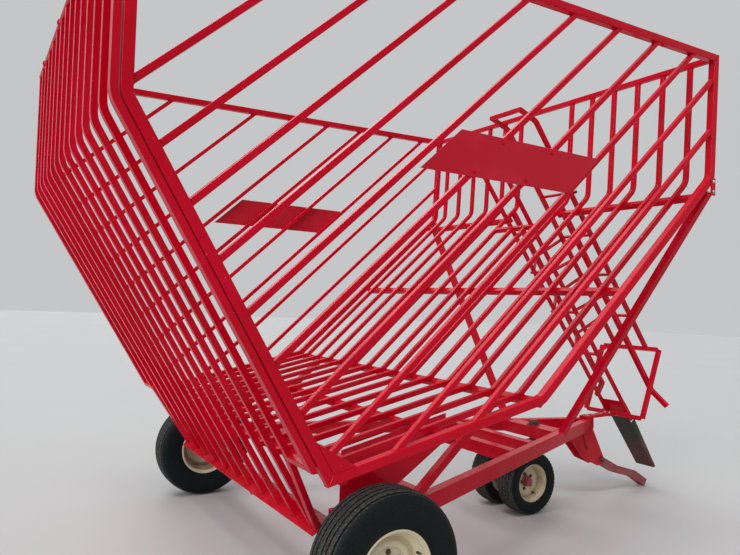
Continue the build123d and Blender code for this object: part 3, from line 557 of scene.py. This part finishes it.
def cream_paint(name, grime, wheel_x, inner):
    """Cream wheel enamel with brown grime and rust, more of it the larger grime is, and painted shade
    with brown grime on the dish's recessed inner side: between two distances out from the wheel's middle
    at wheel_x."""
    finish = Finish(name, 0.4, coat=0.1)
    out = finish.place_part(0).size() - wheel_x
    # Painted shade, with some brown grime in it, darkens the dish's recessed inner side between the two
    # distances out.
    recess_shade_and_grime = (inner[1] - out).between(0.0, 0.006) * (out - inner[0]).between(0.0, 0.006)
    stain = finish.noise(14.0, 6.0, 0.62).between(0.62 - 0.2 * grime, 0.86 - 0.16 * grime)
    rust = finish.noise(42.0, 5.0, 0.7).between(0.70 - 0.1 * grime, 0.80 - 0.06 * grime)
    base = finish.mixed(finish.noise(3.0), (0.66, 0.57, 0.38), (0.74, 0.67, 0.49))
    base = finish.mixed(stain * 0.65, base, (0.33, 0.235, 0.13))
    # The dark brown mixed in here is painted shade in the dish's recess, with grime.
    base = finish.mixed(recess_shade_and_grime * (0.6 + 0.35 * finish.noise(18.0, 4.0)), base, (0.16, 0.10, 0.06))
    base = finish.mixed(rust * 0.85, base, (0.12, 0.05, 0.026))
    finish.feed(Base_Color=base, Roughness=0.34 + 0.35 * stain)
    finish.bump(finish.noise(120.0, 3.0), 0.0004, 0.4)
    return finish.material


def brown_steel():
    """The pan's sheet: greenish black at its top and worn red brown toward its foot, with scale
    patches, a rubbed grey and fine pitting."""
    finish = Finish("brown_steel", 0.55, metallic=0.35)
    patch = finish.noise(11.0, 6.0, 0.65).between(0.35, 0.7)
    rubbed = finish.noise(3.5, 3.0).between(0.5, 0.75)
    high = (finish.place_part(2) + 0.12 * patch).between(0.34, 0.62)
    worn = finish.mixed(patch, (0.075, 0.022, 0.022), (0.135, 0.055, 0.045))
    black = finish.mixed(patch, (0.020, 0.025, 0.020), (0.055, 0.052, 0.040))
    base = finish.mixed(high, worn, black)
    base = finish.mixed(rubbed * 0.35, base, (0.20, 0.18, 0.165))
    finish.feed(Base_Color=base, Roughness=0.45 + 0.3 * patch)
    finish.bump(finish.noise(150.0, 5.0), 0.0006, 0.5)
    return finish.material


def zinc_steel():
    """Bolts, pins and nuts: zinc plate with a little brown in it."""
    finish = Finish("zinc_steel", 0.35, metallic=0.9)
    tarnish = finish.noise(60.0, 5.0, 0.6).between(0.45, 0.75)
    base = finish.mixed(tarnish, (0.52, 0.50, 0.47), (0.20, 0.14, 0.10))
    finish.feed(Base_Color=base, Roughness=0.28 + 0.35 * tarnish)
    return finish.material


def rusty_steel():
    """Wheel nuts: brown rust over dark steel."""
    finish = Finish("rusty_nuts", 0.7, metallic=0.2)
    crust = finish.noise(130.0, 5.0, 0.65).between(0.35, 0.7)
    base = finish.mixed(crust, (0.06, 0.04, 0.03), (0.19, 0.075, 0.03))
    finish.feed(Base_Color=base, Roughness=0.5 + 0.3 * crust)
    finish.bump(crust, 0.0004, 0.6)
    return finish.material


def black_cap():
    """Black plastic plugs in the ends of the ties."""
    finish = Finish("black_plug", 0.5)
    grain = finish.noise(200.0, 3.0)
    base = finish.mixed(grain, (0.012, 0.012, 0.013), (0.03, 0.03, 0.032))
    finish.feed(Base_Color=base, Roughness=0.4 + 0.2 * grain)
    return finish.material


RED = gloss_red()
SIGN = sign_red()
DUSTY = dusty_red()
REAR_RUBBER = rubber("rear_tyre_rubber", rear_middle(1), 0.368, 0.379, REAR_GROOVES)
CASTER_RUBBER = rubber("caster_tyre_rubber", caster_middle(1), 0.236, 0.246)
# Each inner range is where painted shade and grime darken the dish's recessed inner side.
REAR_CREAM = cream_paint("rear_wheel_cream", grime=0.15, wheel_x=WHEEL_X, inner=(-0.084, 0.014))
CASTER_CREAM = cream_paint("caster_wheel_cream", grime=0.9, wheel_x=CASTER_X, inner=(-0.060, -0.014))
STEEL = brown_steel()
ZINC = zinc_steel()
RUSTY = rusty_steel()
PLUG = black_cap()


# Tubes and plates of the frame: copies of their CAD nodes with the rounded edges of drawn tube.

EDGES = {
    # node, edge radius
    "frame_rail_right": 0.009, "frame_rail_left": 0.009, "frame_cross_members": 0.007,
    "side_sill_right": 0.006, "side_sill_left": 0.006, "rear_post_right": 0.006,
    "rear_post_left": 0.006, "top_rail_right": 0.006, "top_rail_left": 0.006,
    "side_bars_right": 0.005, "side_bars_left": 0.005, "end_top_rails": 0.007,
    "floor_bars": 0.006, "floor_cross_tubes": 0.007, "floor_braces": 0.006, "wall_braces": 0.007,
    "hanger_plates": 0.002, "axle_blocks": 0.006, "tongue_bracket": 0.002,
    "gate_sides": 0.004, "gate_bars": 0.005, "gate_corners": 0.005, "gate_foot": 0.002,
    "chute_floor_rods": 0.004, "chute_side_rails": 0.005, "chute_top_rails": 0.005,
    "chute_ties": 0.004, "chute_frames": 0.003, "hoop": 0.005, "hoop_arm": 0.003,
    "sign_plate_right": 0.001, "sign_plate_left": 0.001, "corner_gussets": 0.001,
    "tongue": 0.006, "rear_axle": 0.006, "caster_fork": 0.003, "chute_lip": 0.001, "chute_pan": 0.001,
}
FINISH_OF = {
    "tongue": DUSTY, "rear_axle": DUSTY, "axle_blocks": DUSTY, "caster_fork": DUSTY, "chute_pan": STEEL,
    "sign_plate_right": SIGN, "sign_plate_left": SIGN,
}
BODY_OF = {node: body for body, nodes in frame["record"]["behaviour"]["bodies"].items() for node in nodes}


def welded_copy(node):
    """The CAD node's mesh as one closed skin with its flat faces whole."""
    source = frame["nodes"][node].data
    places = np.empty(len(source.vertices) * 3, np.float32)
    source.vertices.foreach_get("co", places)
    corners = np.empty(len(source.loops), np.int32)
    source.loops.foreach_get("vertex_index", corners)
    unique, where = np.unique(np.round(places.reshape(-1, 3), 6), axis=0, return_inverse=True)
    triangles = where.reshape(-1)[corners].reshape(-1, 3)
    mesh = bpy.data.meshes.new(node + "_rounded")
    mesh.from_pydata(unique.tolist(), [], triangles.tolist())
    work = bmesh.new()
    work.from_mesh(mesh)
    bmesh.ops.dissolve_limit(work, angle_limit=FLAT_ANGLE, verts=work.verts, edges=work.edges)
    work.to_mesh(mesh)
    work.free()
    return mesh


for node, radius in EDGES.items():
    mesh = welded_copy(node)
    piece = bpy.data.objects.new(node + "_rounded", mesh)
    bpy.context.scene.collection.objects.link(piece)
    finish_mesh(mesh, FINISH_OF.get(node, RED))
    rounding = piece.modifiers.new("Rounded edges", "BEVEL")
    rounding.width = radius
    rounding.segments = 3
    rounding.limit_method = "ANGLE"
    rounding.angle_limit = ROUNDED_ANGLE
    rounding.harden_normals = True
    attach(piece, BODY_OF[node])
    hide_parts(node)

# Pieces that keep the CAD's own mesh and only get their finish.
CAD_PIECES = {"gate_hinge_pipe": RED, "gate_lugs": RED, "tongue_pin": ZINC, "pan_rod": ZINC}
for node, material in CAD_PIECES.items():
    materials = frame["nodes"][node].data.materials
    materials.clear()
    materials.append(material)


# Tyres. The section is half an oval below its widest radius and a squarer curve above it, with
# grooves cut in the crown and rings raised on the walls.

# Places on the section, as shares of its half width. Each pair is a ramp from none to full: the
# notches from their inner and their outer side, and the sway.
NOTCH_INNER, NOTCH_OUTER = (0.80, 0.84), (0.985, 0.955)
SWAY_FADE = (0.90, 0.78)
# Where the shoulder starts, and from where on the walls carry rings.
SHOULDER, RINGS_FROM = 0.93, 0.80
# Rings on a wall: place and width as shares of its height, and how far each stands out.
WALL_RINGS = ((0.16, 0.05, 0.0022), (0.60, 0.02, 0.0012), (0.68, 0.02, 0.0012))
# The wall's share of its oval's half height, and its narrower last line, just over the rim.
OVAL_SHARE = 0.54
TUCK, TUCK_RISE = 0.9, 0.0005
# Stations along the section, and steps round the axle for each lug.
CROWN_STATIONS, SHOULDER_STATIONS, WALL_STATIONS = 45, 7, 16
STEPS_PER_LUG = 4


def tyre(middle, sign, outer, half, rim, widest, squareness, grooves, lugs, notch_depth, sway):
    """A tyre as a grid of section stations by steps round the axle. Above the widest radius the
    section is a superellipse of the given squareness; below it the width shrinks as an ellipse to
    the rim. Grooves, given by their distance from the middle, lower the crown on both halves;
    between lugs the shoulder is lowered by the notches. Sway moves the crown's stations from side
    to side once a lug, so that the grooves run in a zigzag."""
    grooves = [end * out for end in (-1, 1) for out in grooves]
    groove_walls = [
        centre + end * GROOVE_WIDTH * share
        for centre in grooves for end in (-1, 1) for share in (GROOVE_FOOT, GROOVE_TOP)
    ]
    crown = np.linspace(-SHOULDER, SHOULDER, CROWN_STATIONS) * half
    crown = np.unique(np.concatenate([crown, groove_walls]))
    shoulder = np.linspace(SHOULDER, 1.0, SHOULDER_STATIONS)[1:] * half
    crown = np.concatenate([-shoulder[::-1], crown, shoulder])
    top = widest + (outer - widest) * (1 - np.abs(crown / half) ** squareness) ** (1 / squareness)
    low = np.linspace(widest, rim, WALL_STATIONS)[1:]
    waist = half * np.sqrt(1 - ((widest - low) / (widest - rim) * OVAL_SHARE) ** 2)
    section_x = np.concatenate([-waist[::-1], crown, waist])
    section_r = np.concatenate([low[::-1], top, low])

    steps = STEPS_PER_LUG * lugs
    angle = np.linspace(0, 2 * math.pi, steps, endpoint=False)[:, None]
    x = np.broadcast_to(section_x, (steps, len(section_x))).copy()
    r = np.broadcast_to(section_r, (steps, len(section_r))).copy()
    for centre in grooves:
        cut = ramp(np.abs(x - centre) / GROOVE_WIDTH, GROOVE_TOP, GROOVE_FOOT)
        r -= GROOVE_DEPTH * cut * (r > widest)
    share = np.abs(x) / half
    notch = ramp(np.cos(angle * lugs), 0, 1 / 3) * ramp(share, *NOTCH_INNER) * ramp(share, *NOTCH_OUTER)
    r -= notch_depth * notch * (r > widest)

    wall = (r - rim) / (outer - rim)
    for ring_at, ring_width, height in WALL_RINGS:
        swell = height * np.exp(-((wall - ring_at) / ring_width) ** 2)
        x += np.sign(x) * swell * (np.abs(x) > half * RINGS_FROM) * (np.abs(x) + swell < half)
    x += sway * np.sin(angle * lugs) * ramp(np.abs(x) / half, *SWAY_FADE) * (r > widest)
    x = np.hstack([x, x[:, [-1, 0]] * TUCK])
    r = np.hstack([r, r[:, [-1, 0]] + TUCK_RISE])
    points, faces = surface(turned(sign * x, r, angle), wrap_rows=True, wrap_columns=True)
    return outward(points + np.array(middle), faces)


for side, sign in SIDES:
    skin = tyre(
        rear_middle(sign), sign, WHEEL_R, TYRE_HALF, RIM_R, TYRE_WIDEST, TYRE_SQUARENESS,
        REAR_GROOVES, REAR_LUGS, REAR_NOTCH, REAR_SWAY,
    )
    new_piece(
        f"rear_tyre_{side}_ribbed", [skin], f"wheel_{side}", REAR_RUBBER, [f"rear_tyre_{side}"]
    )

caster_skins = [
    tyre(
        caster_middle(sign), sign, CASTER_R, CASTER_TYRE_HALF, CASTER_RIM_R, CASTER_WIDEST,
        CASTER_SQUARENESS, CASTER_GROOVES, CASTER_LUGS, CASTER_NOTCH, CASTER_SWAY,
    )
    for sign in (-1, 1)
]
new_piece("caster_tyres_ribbed", caster_skins, "caster_wheels", CASTER_RUBBER, ["caster_tyres"])


# Rims, hubs, drums, nuts and valves. Each section is a row of (radius, distance out).

REAR_BARREL = (
    (0.208, -0.105), (0.208, 0.105), (0.204, 0.111), (0.198, 0.110), (0.195, 0.098), (0.187, 0.094),
    (0.185, 0.078), (0.160, 0.042), (0.160, -0.042), (0.185, -0.078), (0.187, -0.094),
    (0.195, -0.098), (0.198, -0.110), (0.204, -0.111),
)
REAR_DISC = (
    (0.170, 0.016), (0.146, 0.020), (0.132, 0.038), (0.108, 0.042), (0.096, 0.024), (0.060, 0.024),
    (0.060, 0.012), (0.102, 0.012), (0.112, 0.030), (0.126, 0.026), (0.140, 0.008), (0.170, 0.004),
)
REAR_DRUM = (
    (0.044, -0.078), (0.056, -0.076), (0.062, -0.060), (0.062, 0.008), (0.044, 0.008),
)
REAR_HUB = (
    (0.060, 0.010), (0.060, 0.034), (0.044, 0.040), (0.040, 0.066), (0.030, 0.073), (0.0, 0.074),
    (0.0, -0.080), (0.045, -0.080), (0.045, 0.010),
)
CASTER_BARREL = (
    (0.155, -0.074), (0.155, 0.074), (0.147, 0.078), (0.143, 0.068), (0.133, 0.048),
    (0.133, -0.048), (0.143, -0.068), (0.147, -0.078),
)
CASTER_DISC = (
    (0.133, -0.008), (0.104, 0.004), (0.080, -0.006), (0.045, -0.006),
    (0.045, -0.018), (0.084, -0.018), (0.104, -0.010), (0.133, -0.022),
)
CASTER_HUB = (
    (0.045, -0.060), (0.045, 0.002), (0.038, 0.008), (0.034, 0.036), (0.026, 0.042), (0.0, 0.042),
    (0.0, -0.060),
)
# A valve's rubber foot, its stem and its narrower cap.
VALVE = (
    (0.0, 0.0), (0.009, 0.0), (0.009, 0.012), (0.005, 0.016), (0.004, 0.018), (0.004, 0.032),
    (0.0, 0.033),
)
# How far the sections' corners are rounded.
REAR_BARREL_CORNER, REAR_DISC_CORNER = 0.004, 0.010
CASTER_BARREL_CORNER, CASTER_DISC_CORNER = 0.003, 0.006
HUB_CORNER = 0.004


def wheel_part(middle, sign, section, corner):
    """A closed section turned round a wheel's axle, its corners off the axle rounded first."""
    off_axle = np.array([radius > 0 for radius, out in section])
    return lathe(rounded(section, corner * off_axle), middle, (sign, 0, 0), steps=96, closed=True)


def wheel_nuts(middle, sign, count, circle, out):
    """Hexagon nuts evenly round a circle about the axle."""
    parts = []
    for number in range(count):
        angle = 2 * math.pi * (number + 0.5) / count
        parts += hex_bolt(on_wheel(middle, sign, circle, angle, out), (sign, 0, 0), WHEEL_NUT)
    return parts


def valve(middle, sign, radius, angle, out):
    """A tyre valve that stands out from a wheel."""
    return lathe(VALVE, on_wheel(middle, sign, radius, angle, out), (sign, 0, 0), steps=16)


for side, sign in SIDES:
    body = f"wheel_{side}"
    middle = rear_middle(sign)
    rim = [
        wheel_part(middle, sign, REAR_BARREL, REAR_BARREL_CORNER),
        wheel_part(middle, sign, REAR_DISC, REAR_DISC_CORNER),
    ]
    new_piece(f"rear_rim_{side}_pressed", rim, body, REAR_CREAM, [f"rear_rim_{side}"])
    hub = [wheel_part(middle, sign, REAR_HUB, HUB_CORNER)]
    new_piece(f"rear_hub_{side}_capped", hub, body, REAR_CREAM, [f"rear_hub_{side}"])
    drum = [wheel_part(middle, sign, REAR_DRUM, HUB_CORNER)]
    new_piece(f"rear_hub_{side}_drum", drum, body, DUSTY)
    nuts = wheel_nuts(middle, sign, REAR_NUTS, REAR_NUT_CIRCLE, REAR_NUT_OUT)
    new_piece(f"rear_wheel_nuts_{side}", nuts, body, RUSTY)
    stem = [valve(middle, sign, REAR_VALVE_R, REAR_VALVE_ANGLE, REAR_VALVE_OUT)]
    new_piece(f"rear_valve_{side}", stem, body, PLUG)

barrels, hubs, nuts, stems = [], [], [], []
for sign in (-1, 1):
    middle = caster_middle(sign)
    barrels.append(wheel_part(middle, sign, CASTER_BARREL, CASTER_BARREL_CORNER))
    barrels.append(wheel_part(middle, sign, CASTER_DISC, CASTER_DISC_CORNER))
    hubs.append(wheel_part(middle, sign, CASTER_HUB, HUB_CORNER))
    nuts += wheel_nuts(middle, sign, CASTER_NUTS, CASTER_NUT_CIRCLE, CASTER_NUT_OUT)
    stems.append(valve(middle, sign, CASTER_VALVE_R, CASTER_VALVE_ANGLE, CASTER_VALVE_OUT))
new_piece("caster_rims_pressed", barrels, "caster_wheels", CASTER_CREAM, ["caster_rims"])
new_piece("caster_hubs_capped", hubs, "caster_wheels", DUSTY, ["caster_hubs"])
new_piece("caster_wheel_nuts", nuts, "caster_wheels", RUSTY)
new_piece("caster_valves", stems, "caster_wheels", PLUG)


# Welds where the side bars meet the ring. A side that spans less with their direction than this
# runs along them and has none.

PARALLEL = 1e-6
bar_run = unit(SIDE_PATH[2] - SIDE_PATH[1])


def on_side_bar(number):
    """A point of a side bar's centre line. The bars lie above the rising sill, a pitch apart."""
    return SIDE_PATH[1] + np.array([-bar_run[1], bar_run[0]]) * number * SIDE_BAR_PITCH


def mitres():
    """From each corner of the side frame's centre line to the corner of its window: the sum of the
    two sides' normals, scaled so that it reaches half the tube's depth in from both."""
    reach = []
    for before, at, after in zip(np.roll(SIDE_PATH, 1, 0), SIDE_PATH, np.roll(SIDE_PATH, -1, 0)):
        one, two = unit(at - before), unit(after - at)
        normal = np.array([-one[1] - two[1], one[0] + two[0]])
        reach.append(normal * SIDE_DEPTH / 2 / (1 + one @ two))
    return np.array(reach)


def bar_meets(on_bar, start, end):
    """Where a side bar's line meets a side of the window, and the side's direction; nothing if it
    passes the side by. The share of the side up to there is a ratio of two spanned areas."""
    side = end - start
    area = spanned(bar_run, side)
    if abs(area) < PARALLEL:
        return None
    share = spanned(start - on_bar, bar_run) / area
    return (start + share * side, unit(side)) if 0 <= share <= 1 else None


mitre = mitres()
window = SIDE_PATH + mitre
welds = []
for number in range(1, SIDE_BAR_COUNT + 1):
    for start, end in zip(window, np.roll(window, -1, 0)):
        met = bar_meets(on_side_bar(number), start, end)
        if met is None:
            continue
        place, run = met
        half_along = SIDE_BAR / 2 / abs(spanned(bar_run, run))
        for sign in (-1, 1):
            centre = (sign * SIDE_X, *row(*place))
            welds.append(bead(centre, (1, 0, 0), (0, *run), SIDE_BAR / 2, half_along))
new_piece("side_bar_welds", welds, "chassis", RED)

# Welds round the ring's mitred corners and the end rails, by the numbers of the corners.
MITRED = (0, 3, 4)
RAILED = (3, 4)
welds = []
for sign in (-1, 1):
    for corner in MITRED:
        centre = (sign * SIDE_X, *row(*SIDE_PATH[corner]))
        along = (0, *unit(mitre[corner]))
        length = np.linalg.norm(mitre[corner])
        welds.append(bead(centre, (1, 0, 0), along, SIDE_DEPTH / 2, length, CORNER_WELD))
    for corner in RAILED:
        centre = (sign * END_RAIL_HALF, *row(*SIDE_PATH[corner]))
        welds.append(bead(centre, (0, 1, 0), (0, 0, 1), END_RAIL / 2, END_RAIL / 2))
new_piece("frame_corner_welds", welds, "chassis", RED)

# Welds under the floor bars where they lie on the cross tubes, and at their tops.
floor_bar_x = [
    sign * (FLOOR_BAR_FIRST + number * FLOOR_BAR_PITCH)
    for number in range(FLOOR_BARS_PER_SIDE) for sign in (-1, 1)
]
welds = []
for y, stretch in CROSS_TUBES:
    start = SIDE_PATH[stretch]
    run = unit(SIDE_PATH[stretch + 1] - start)
    on_line = start + run * (y - start[0]) / run[0]
    contact = on_line + np.array([run[1], -run[0]]) * FLOOR_BAR / 2
    for x in floor_bar_x:
        centre = (x, *row(*contact))
        welds.append(bead(centre, (1, 0, 0), (0, *run), FLOOR_BAR / 2, CROSS_TUBE / 2))
for x in floor_bar_x:
    centre = (x, *row(SIDE_PATH[3][0], SIDE_PATH[3][1] - END_RAIL / 2))
    welds.append(bead(centre, (1, 0, 0), (0, 1, 0), FLOOR_BAR / 2, FLOOR_BAR / 2))
new_piece("floor_bar_welds", welds, "chassis", RED)

# Welds of the gate's bars under the pipe that they hang from.
hang = unit(SIDE_PATH[5] - SIDE_PATH[4])
weld_at = SIDE_PATH[4] - (GATE_OFFSET, 0.0) + hang * PIPE_R
welds = []
for number in range(GATE_BAR_COUNT):
    x = (number - (GATE_BAR_COUNT - 1) / 2) * GATE_BAR_PITCH
    welds.append(bead((x, *row(*weld_at)), (1, 0, 0), (0, 1, 0), GATE_BAR / 2, GATE_BAR / 2))
new_piece("gate_bar_welds", welds, "gate", RED)


# Welds where the A-frame's members butt against its rails.

def on_frame(y, above):
    """A height at y above the line through the middle of the tilted rails."""
    return FRAME_MIDDLE_Z + y * math.tan(FRAME_TILT) + above / math.cos(FRAME_TILT)


rail_run = unit(np.array([-FRAME_BEND[0], FRAME_TIP_Y - FRAME_BEND[1]]))
welds = []
for y, length in MEMBERS:
    middle_x = FRAME_BEND[0] + rail_run[0] * (y - FRAME_BEND[1]) / rail_run[1]
    inner_x = middle_x - FRAME_RAIL_HALF / rail_run[1]
    for sign in (-1, 1):
        centre = (sign * inner_x, *row(y, on_frame(y, MEMBER_TOP - MEMBER_HALF)))
        run = (sign * rail_run[0], rail_run[1], 0.0)
        half_along = length / 2 / rail_run[1]
        welds.append(bead(centre, run, (0, 0, 1), half_along, MEMBER_HALF, MEMBER_WELD))
new_piece("frame_member_welds", welds, "chassis", RED)

# Welds of the axle's blocks, at the beam below and the rail above, and of the tongue bracket's plates.
frame_run = (0, math.cos(FRAME_TILT), math.sin(FRAME_TILT))
plate_y = (PLATE_FROM + PLATE_TO) / 2
plate_half_long = (PLATE_TO - PLATE_FROM) / 2
block_welds, plate_welds = [], []
for sign in (-1, 1):
    for z in (BEAM_TOP, on_frame(0.0, -FRAME_RAIL_HALF_HIGH)):
        centre = (sign * FRAME_BEND[0], *row(0.0, z))
        block_welds.append(bead(centre, (1, 0, 0), (0, 1, 0), BLOCK_HALF_X, BLOCK_HALF_Y, BLOCK_WELD))
    centre = (sign * PLATE_X, *row(plate_y, on_frame(plate_y, -FRAME_RAIL_HALF_HIGH)))
    plate_welds.append(bead(centre, (1, 0, 0), frame_run, PLATE_HALF, plate_half_long, PLATE_WELD))
new_piece("axle_block_welds", block_welds, "chassis", DUSTY)
new_piece("bracket_plate_welds", plate_welds, "chassis", RED)


# Plugs in the ties' ends, bolts on the hoop's arm and the tongue's pin, and the braces' end plates.

chute_length = math.hypot(CHUTE_SLOPE, 1)
chute_lean = math.atan2(-1, CHUTE_SLOPE)
chute_down = (0, CHUTE_SLOPE / chute_length, -1 / chute_length)


def over_top_rail(height, rise):
    """A side-view place above the chute's top rails, square to their slope."""
    y = TOP_RAIL_POINT[0] - CHUTE_SLOPE * (height - TOP_RAIL_POINT[1])
    return row(y + rise / chute_length, height + rise * CHUTE_SLOPE / chute_length)


plugs, welds = [], []
for height in TIE_HEIGHTS:
    for sign in (-1, 1):
        plugs.append(plate(
            (sign * TIE_HALF, *over_top_rail(height, TIE_RISE)), (sign, 0, 0), sign * chute_lean,
            TIE_PLUG_HALF, TIE_PLUG_HALF, TIE_PLUG_THICK,
        ))
        contact = (sign * TOP_RAIL_X, *over_top_rail(height, TOP_RAIL / 2))
        welds.append(bead(contact, (1, 0, 0), chute_down, TOP_RAIL / 2, TIE_SIZE / 2))
new_piece("chute_tie_plugs", plugs, "chassis", PLUG)
new_piece("chute_tie_welds", welds, "chassis", RED)

arm_bolts = []
for y in ARM_BOLT_ROWS:
    arm_top = HOOP_FOOT[1] + ARM_HALF_THICK + math.tan(FRAME_TILT) * (y - HOOP_FOOT[0])
    for sign in (-1, 1):
        arm_bolts += hex_bolt((sign * ARM_BOLT_X, *row(y, arm_top)), (0, 0, 1), ARM_BOLT)
new_piece("hoop_arm_bolts", arm_bolts, "chassis", ZINC)

pin_ends = []
for sign in (-1, 1):
    place = (sign * TONGUE_PIN_HEAD_X, *row(*TONGUE_PIN))
    pin_ends += hex_bolt(place, (sign, 0, 0), TONGUE_PIN_NUT)
new_piece("tongue_pin_nuts", pin_ends, "chassis", RUSTY)

# The braces end under the sills' bend, each behind a plate with two bolts through the sill.
sill_face = SIDE_X + SIDE_DEPTH / 2
brace_y, brace_z = row(*BRACE_END)
brace_plates, brace_bolts = [], []
for sign in (-1, 1):
    brace_plates.append(plate(
        (sign * sill_face, brace_y, brace_z), (sign, 0, 0), 0.0,
        BRACE_PLATE_HALF_WIDE, BRACE_PLATE_HALF_LONG, BRACE_PLATE_THICK,
    ))
    for rise in (-BRACE_BOLT_RISE, BRACE_BOLT_RISE):
        place = (sign * (sill_face + BRACE_PLATE_THICK), brace_y, brace_z + rise)
        brace_bolts += hex_bolt(place, (sign, 0, 0), BRACE_BOLT)
new_piece("brace_end_plates", brace_plates, "chassis", RED)
new_piece("brace_end_bolts", brace_bolts, "chassis", ZINC)

# Screws that hold each sign plate to the side bars behind it, except close to the plate's ends.
SCREW_INSET = 0.028
SCREW_MARGIN = 0.020
bar_lean = bar_run[0] / bar_run[1]
sign_screws = []
for number in range(1, SIDE_BAR_COUNT + 1):
    on_bar = on_side_bar(number)
    for height in (SIGN_LOW + SCREW_INSET, SIGN_HIGH - SCREW_INSET):
        y = on_bar[0] + bar_lean * (height - on_bar[1])
        from_end = y - SIGN_REAR - bar_lean * (height - SIGN_LOW)
        if SCREW_MARGIN < from_end < SIGN_LENGTH - SCREW_MARGIN:
            for sign in (-1, 1):
                sign_screws += hex_bolt((sign * SIGN_FACE, *row(y, height)), (sign, 0, 0), SIGN_SCREW)
new_piece("sign_plate_screws", sign_screws, "chassis", RED)

# The nut on the caster's pin, just clear of the tilted member below it.
PIN_NUT_GAP = 0.001
pin_top = on_frame(CASTER_PIN_Y, MEMBER_TOP) + PIN_NUT_GAP
pin_nut = hex_bolt((0, *row(CASTER_PIN_Y, pin_top)), (0, 0, 1), CASTER_PIN_NUT)
new_piece("caster_pin_nut", pin_nut, "caster", RUSTY)


# Camera, at the photograph's place and angle.
forward = Vector((
    -math.sin(CAMERA_YAW) * math.cos(CAMERA_PITCH),
    math.cos(CAMERA_YAW) * math.cos(CAMERA_PITCH),
    math.sin(CAMERA_PITCH),
))
level_right = Vector((math.cos(CAMERA_YAW), math.sin(CAMERA_YAW), 0.0))
level_up = level_right.cross(forward)
right = math.cos(CAMERA_ROLL) * level_right + math.sin(CAMERA_ROLL) * level_up
up = -math.sin(CAMERA_ROLL) * level_right + math.cos(CAMERA_ROLL) * level_up
camera = bpy.data.objects.new("camera", bpy.data.cameras.new("camera"))
bpy.context.scene.collection.objects.link(camera)
aimed = Matrix((right, up, -forward)).transposed().to_4x4()
camera.matrix_world = Matrix.Translation((CAMERA_AT[0], *row(*CAMERA_AT[1:]))) @ aimed
camera.data.sensor_width = SENSOR
camera.data.lens = SENSOR * FOCAL_PIXELS / PHOTO_WIDTH
camera.data.clip_end = 200
bpy.context.scene.camera = camera


# Floor, background and lamps.
FLOOR_HALF = 60.0
FLOOR_CORNERS = ((-1, -1), (1, -1), (1, 1), (-1, 1))
floor_mesh = bpy.data.meshes.new("floor")
floor_mesh.from_pydata([(x * FLOOR_HALF, y * FLOOR_HALF, 0) for x, y in FLOOR_CORNERS], [], [(0, 1, 2, 3)])
floor = bpy.data.objects.new("floor", floor_mesh)
bpy.context.scene.collection.objects.link(floor)
floor_finish = Finish("floor_grey", 0.7)
floor_tone = floor_finish.mixed(floor_finish.noise(0.4, 4.0), (0.56, 0.56, 0.555), (0.60, 0.60, 0.595))
floor_finish.feed(Base_Color=floor_tone)
floor_mesh.materials.append(floor_finish.material)

# The world's light grows from the horizon to the height at which it is full. The camera, gloss and
# glass see a plain background instead.
HORIZON_LIGHT, ZENITH_LIGHT = 0.14, 0.62
FULL_LIGHT_HEIGHT = 0.9
SKY_COLOUR = (0.93, 0.96, 1.0, 1.0)
BACKGROUND_COLOUR = (0.56, 0.565, 0.57, 1.0)
world = bpy.data.worlds.new("studio")
bpy.context.scene.world = world
world.use_nodes = True
world.node_tree.nodes.clear()
studio = Shading(world.node_tree)
direction = studio.node("ShaderNodeTexCoord").outputs["Generated"]
height = studio.value("ShaderNodeSeparateXYZ", {}, {"Vector": direction}, output="Z")
light = studio.value("ShaderNodeMapRange", {}, {
    "Value": height, "From Max": FULL_LIGHT_HEIGHT, "To Min": HORIZON_LIGHT, "To Max": ZENITH_LIGHT,
})
lit = studio.node("ShaderNodeBackground", {}, {"Color": SKY_COLOUR, "Strength": light})
seen = studio.node("ShaderNodeBackground", {}, {"Color": BACKGROUND_COLOUR, "Strength": 1.0})
rays = studio.node("ShaderNodeLightPath").outputs
direct = Value(studio, rays["Is Camera Ray"])
for kind in ("Is Glossy Ray", "Is Transmission Ray"):
    direct = direct.maths("MAXIMUM", direct, rays[kind])
chosen = studio.node(
    "ShaderNodeMixShader", {}, {"Fac": direct, 1: lit.outputs["Background"], 2: seen.outputs["Background"]}
)
studio.node("ShaderNodeOutputWorld", {}, {"Surface": chosen.outputs["Shader"]})

LAMPS = (
    # name, where it shines from, strength, how wide it looks in degrees
    ("lamp_above", (1.8, -3.2, 8.0), 1.02, 24.0),
    ("lamp_far", (-7.5, 0.5, 6.0), 0.55, 34.0),
    ("lamp_rear", (4.2, -7.2, 3.8), 1.08, 26.0),
)
for name, place, strength, width in LAMPS:
    data = bpy.data.lights.new(name, "SUN")
    data.energy = strength
    data.angle = math.radians(width)
    lamp = bpy.data.objects.new(name, data)
    lamp.rotation_euler = Vector(place).to_track_quat("Z", "Y").to_euler()
    bpy.context.scene.collection.objects.link(lamp)

bpy.context.scene.view_settings.view_transform = "Standard"
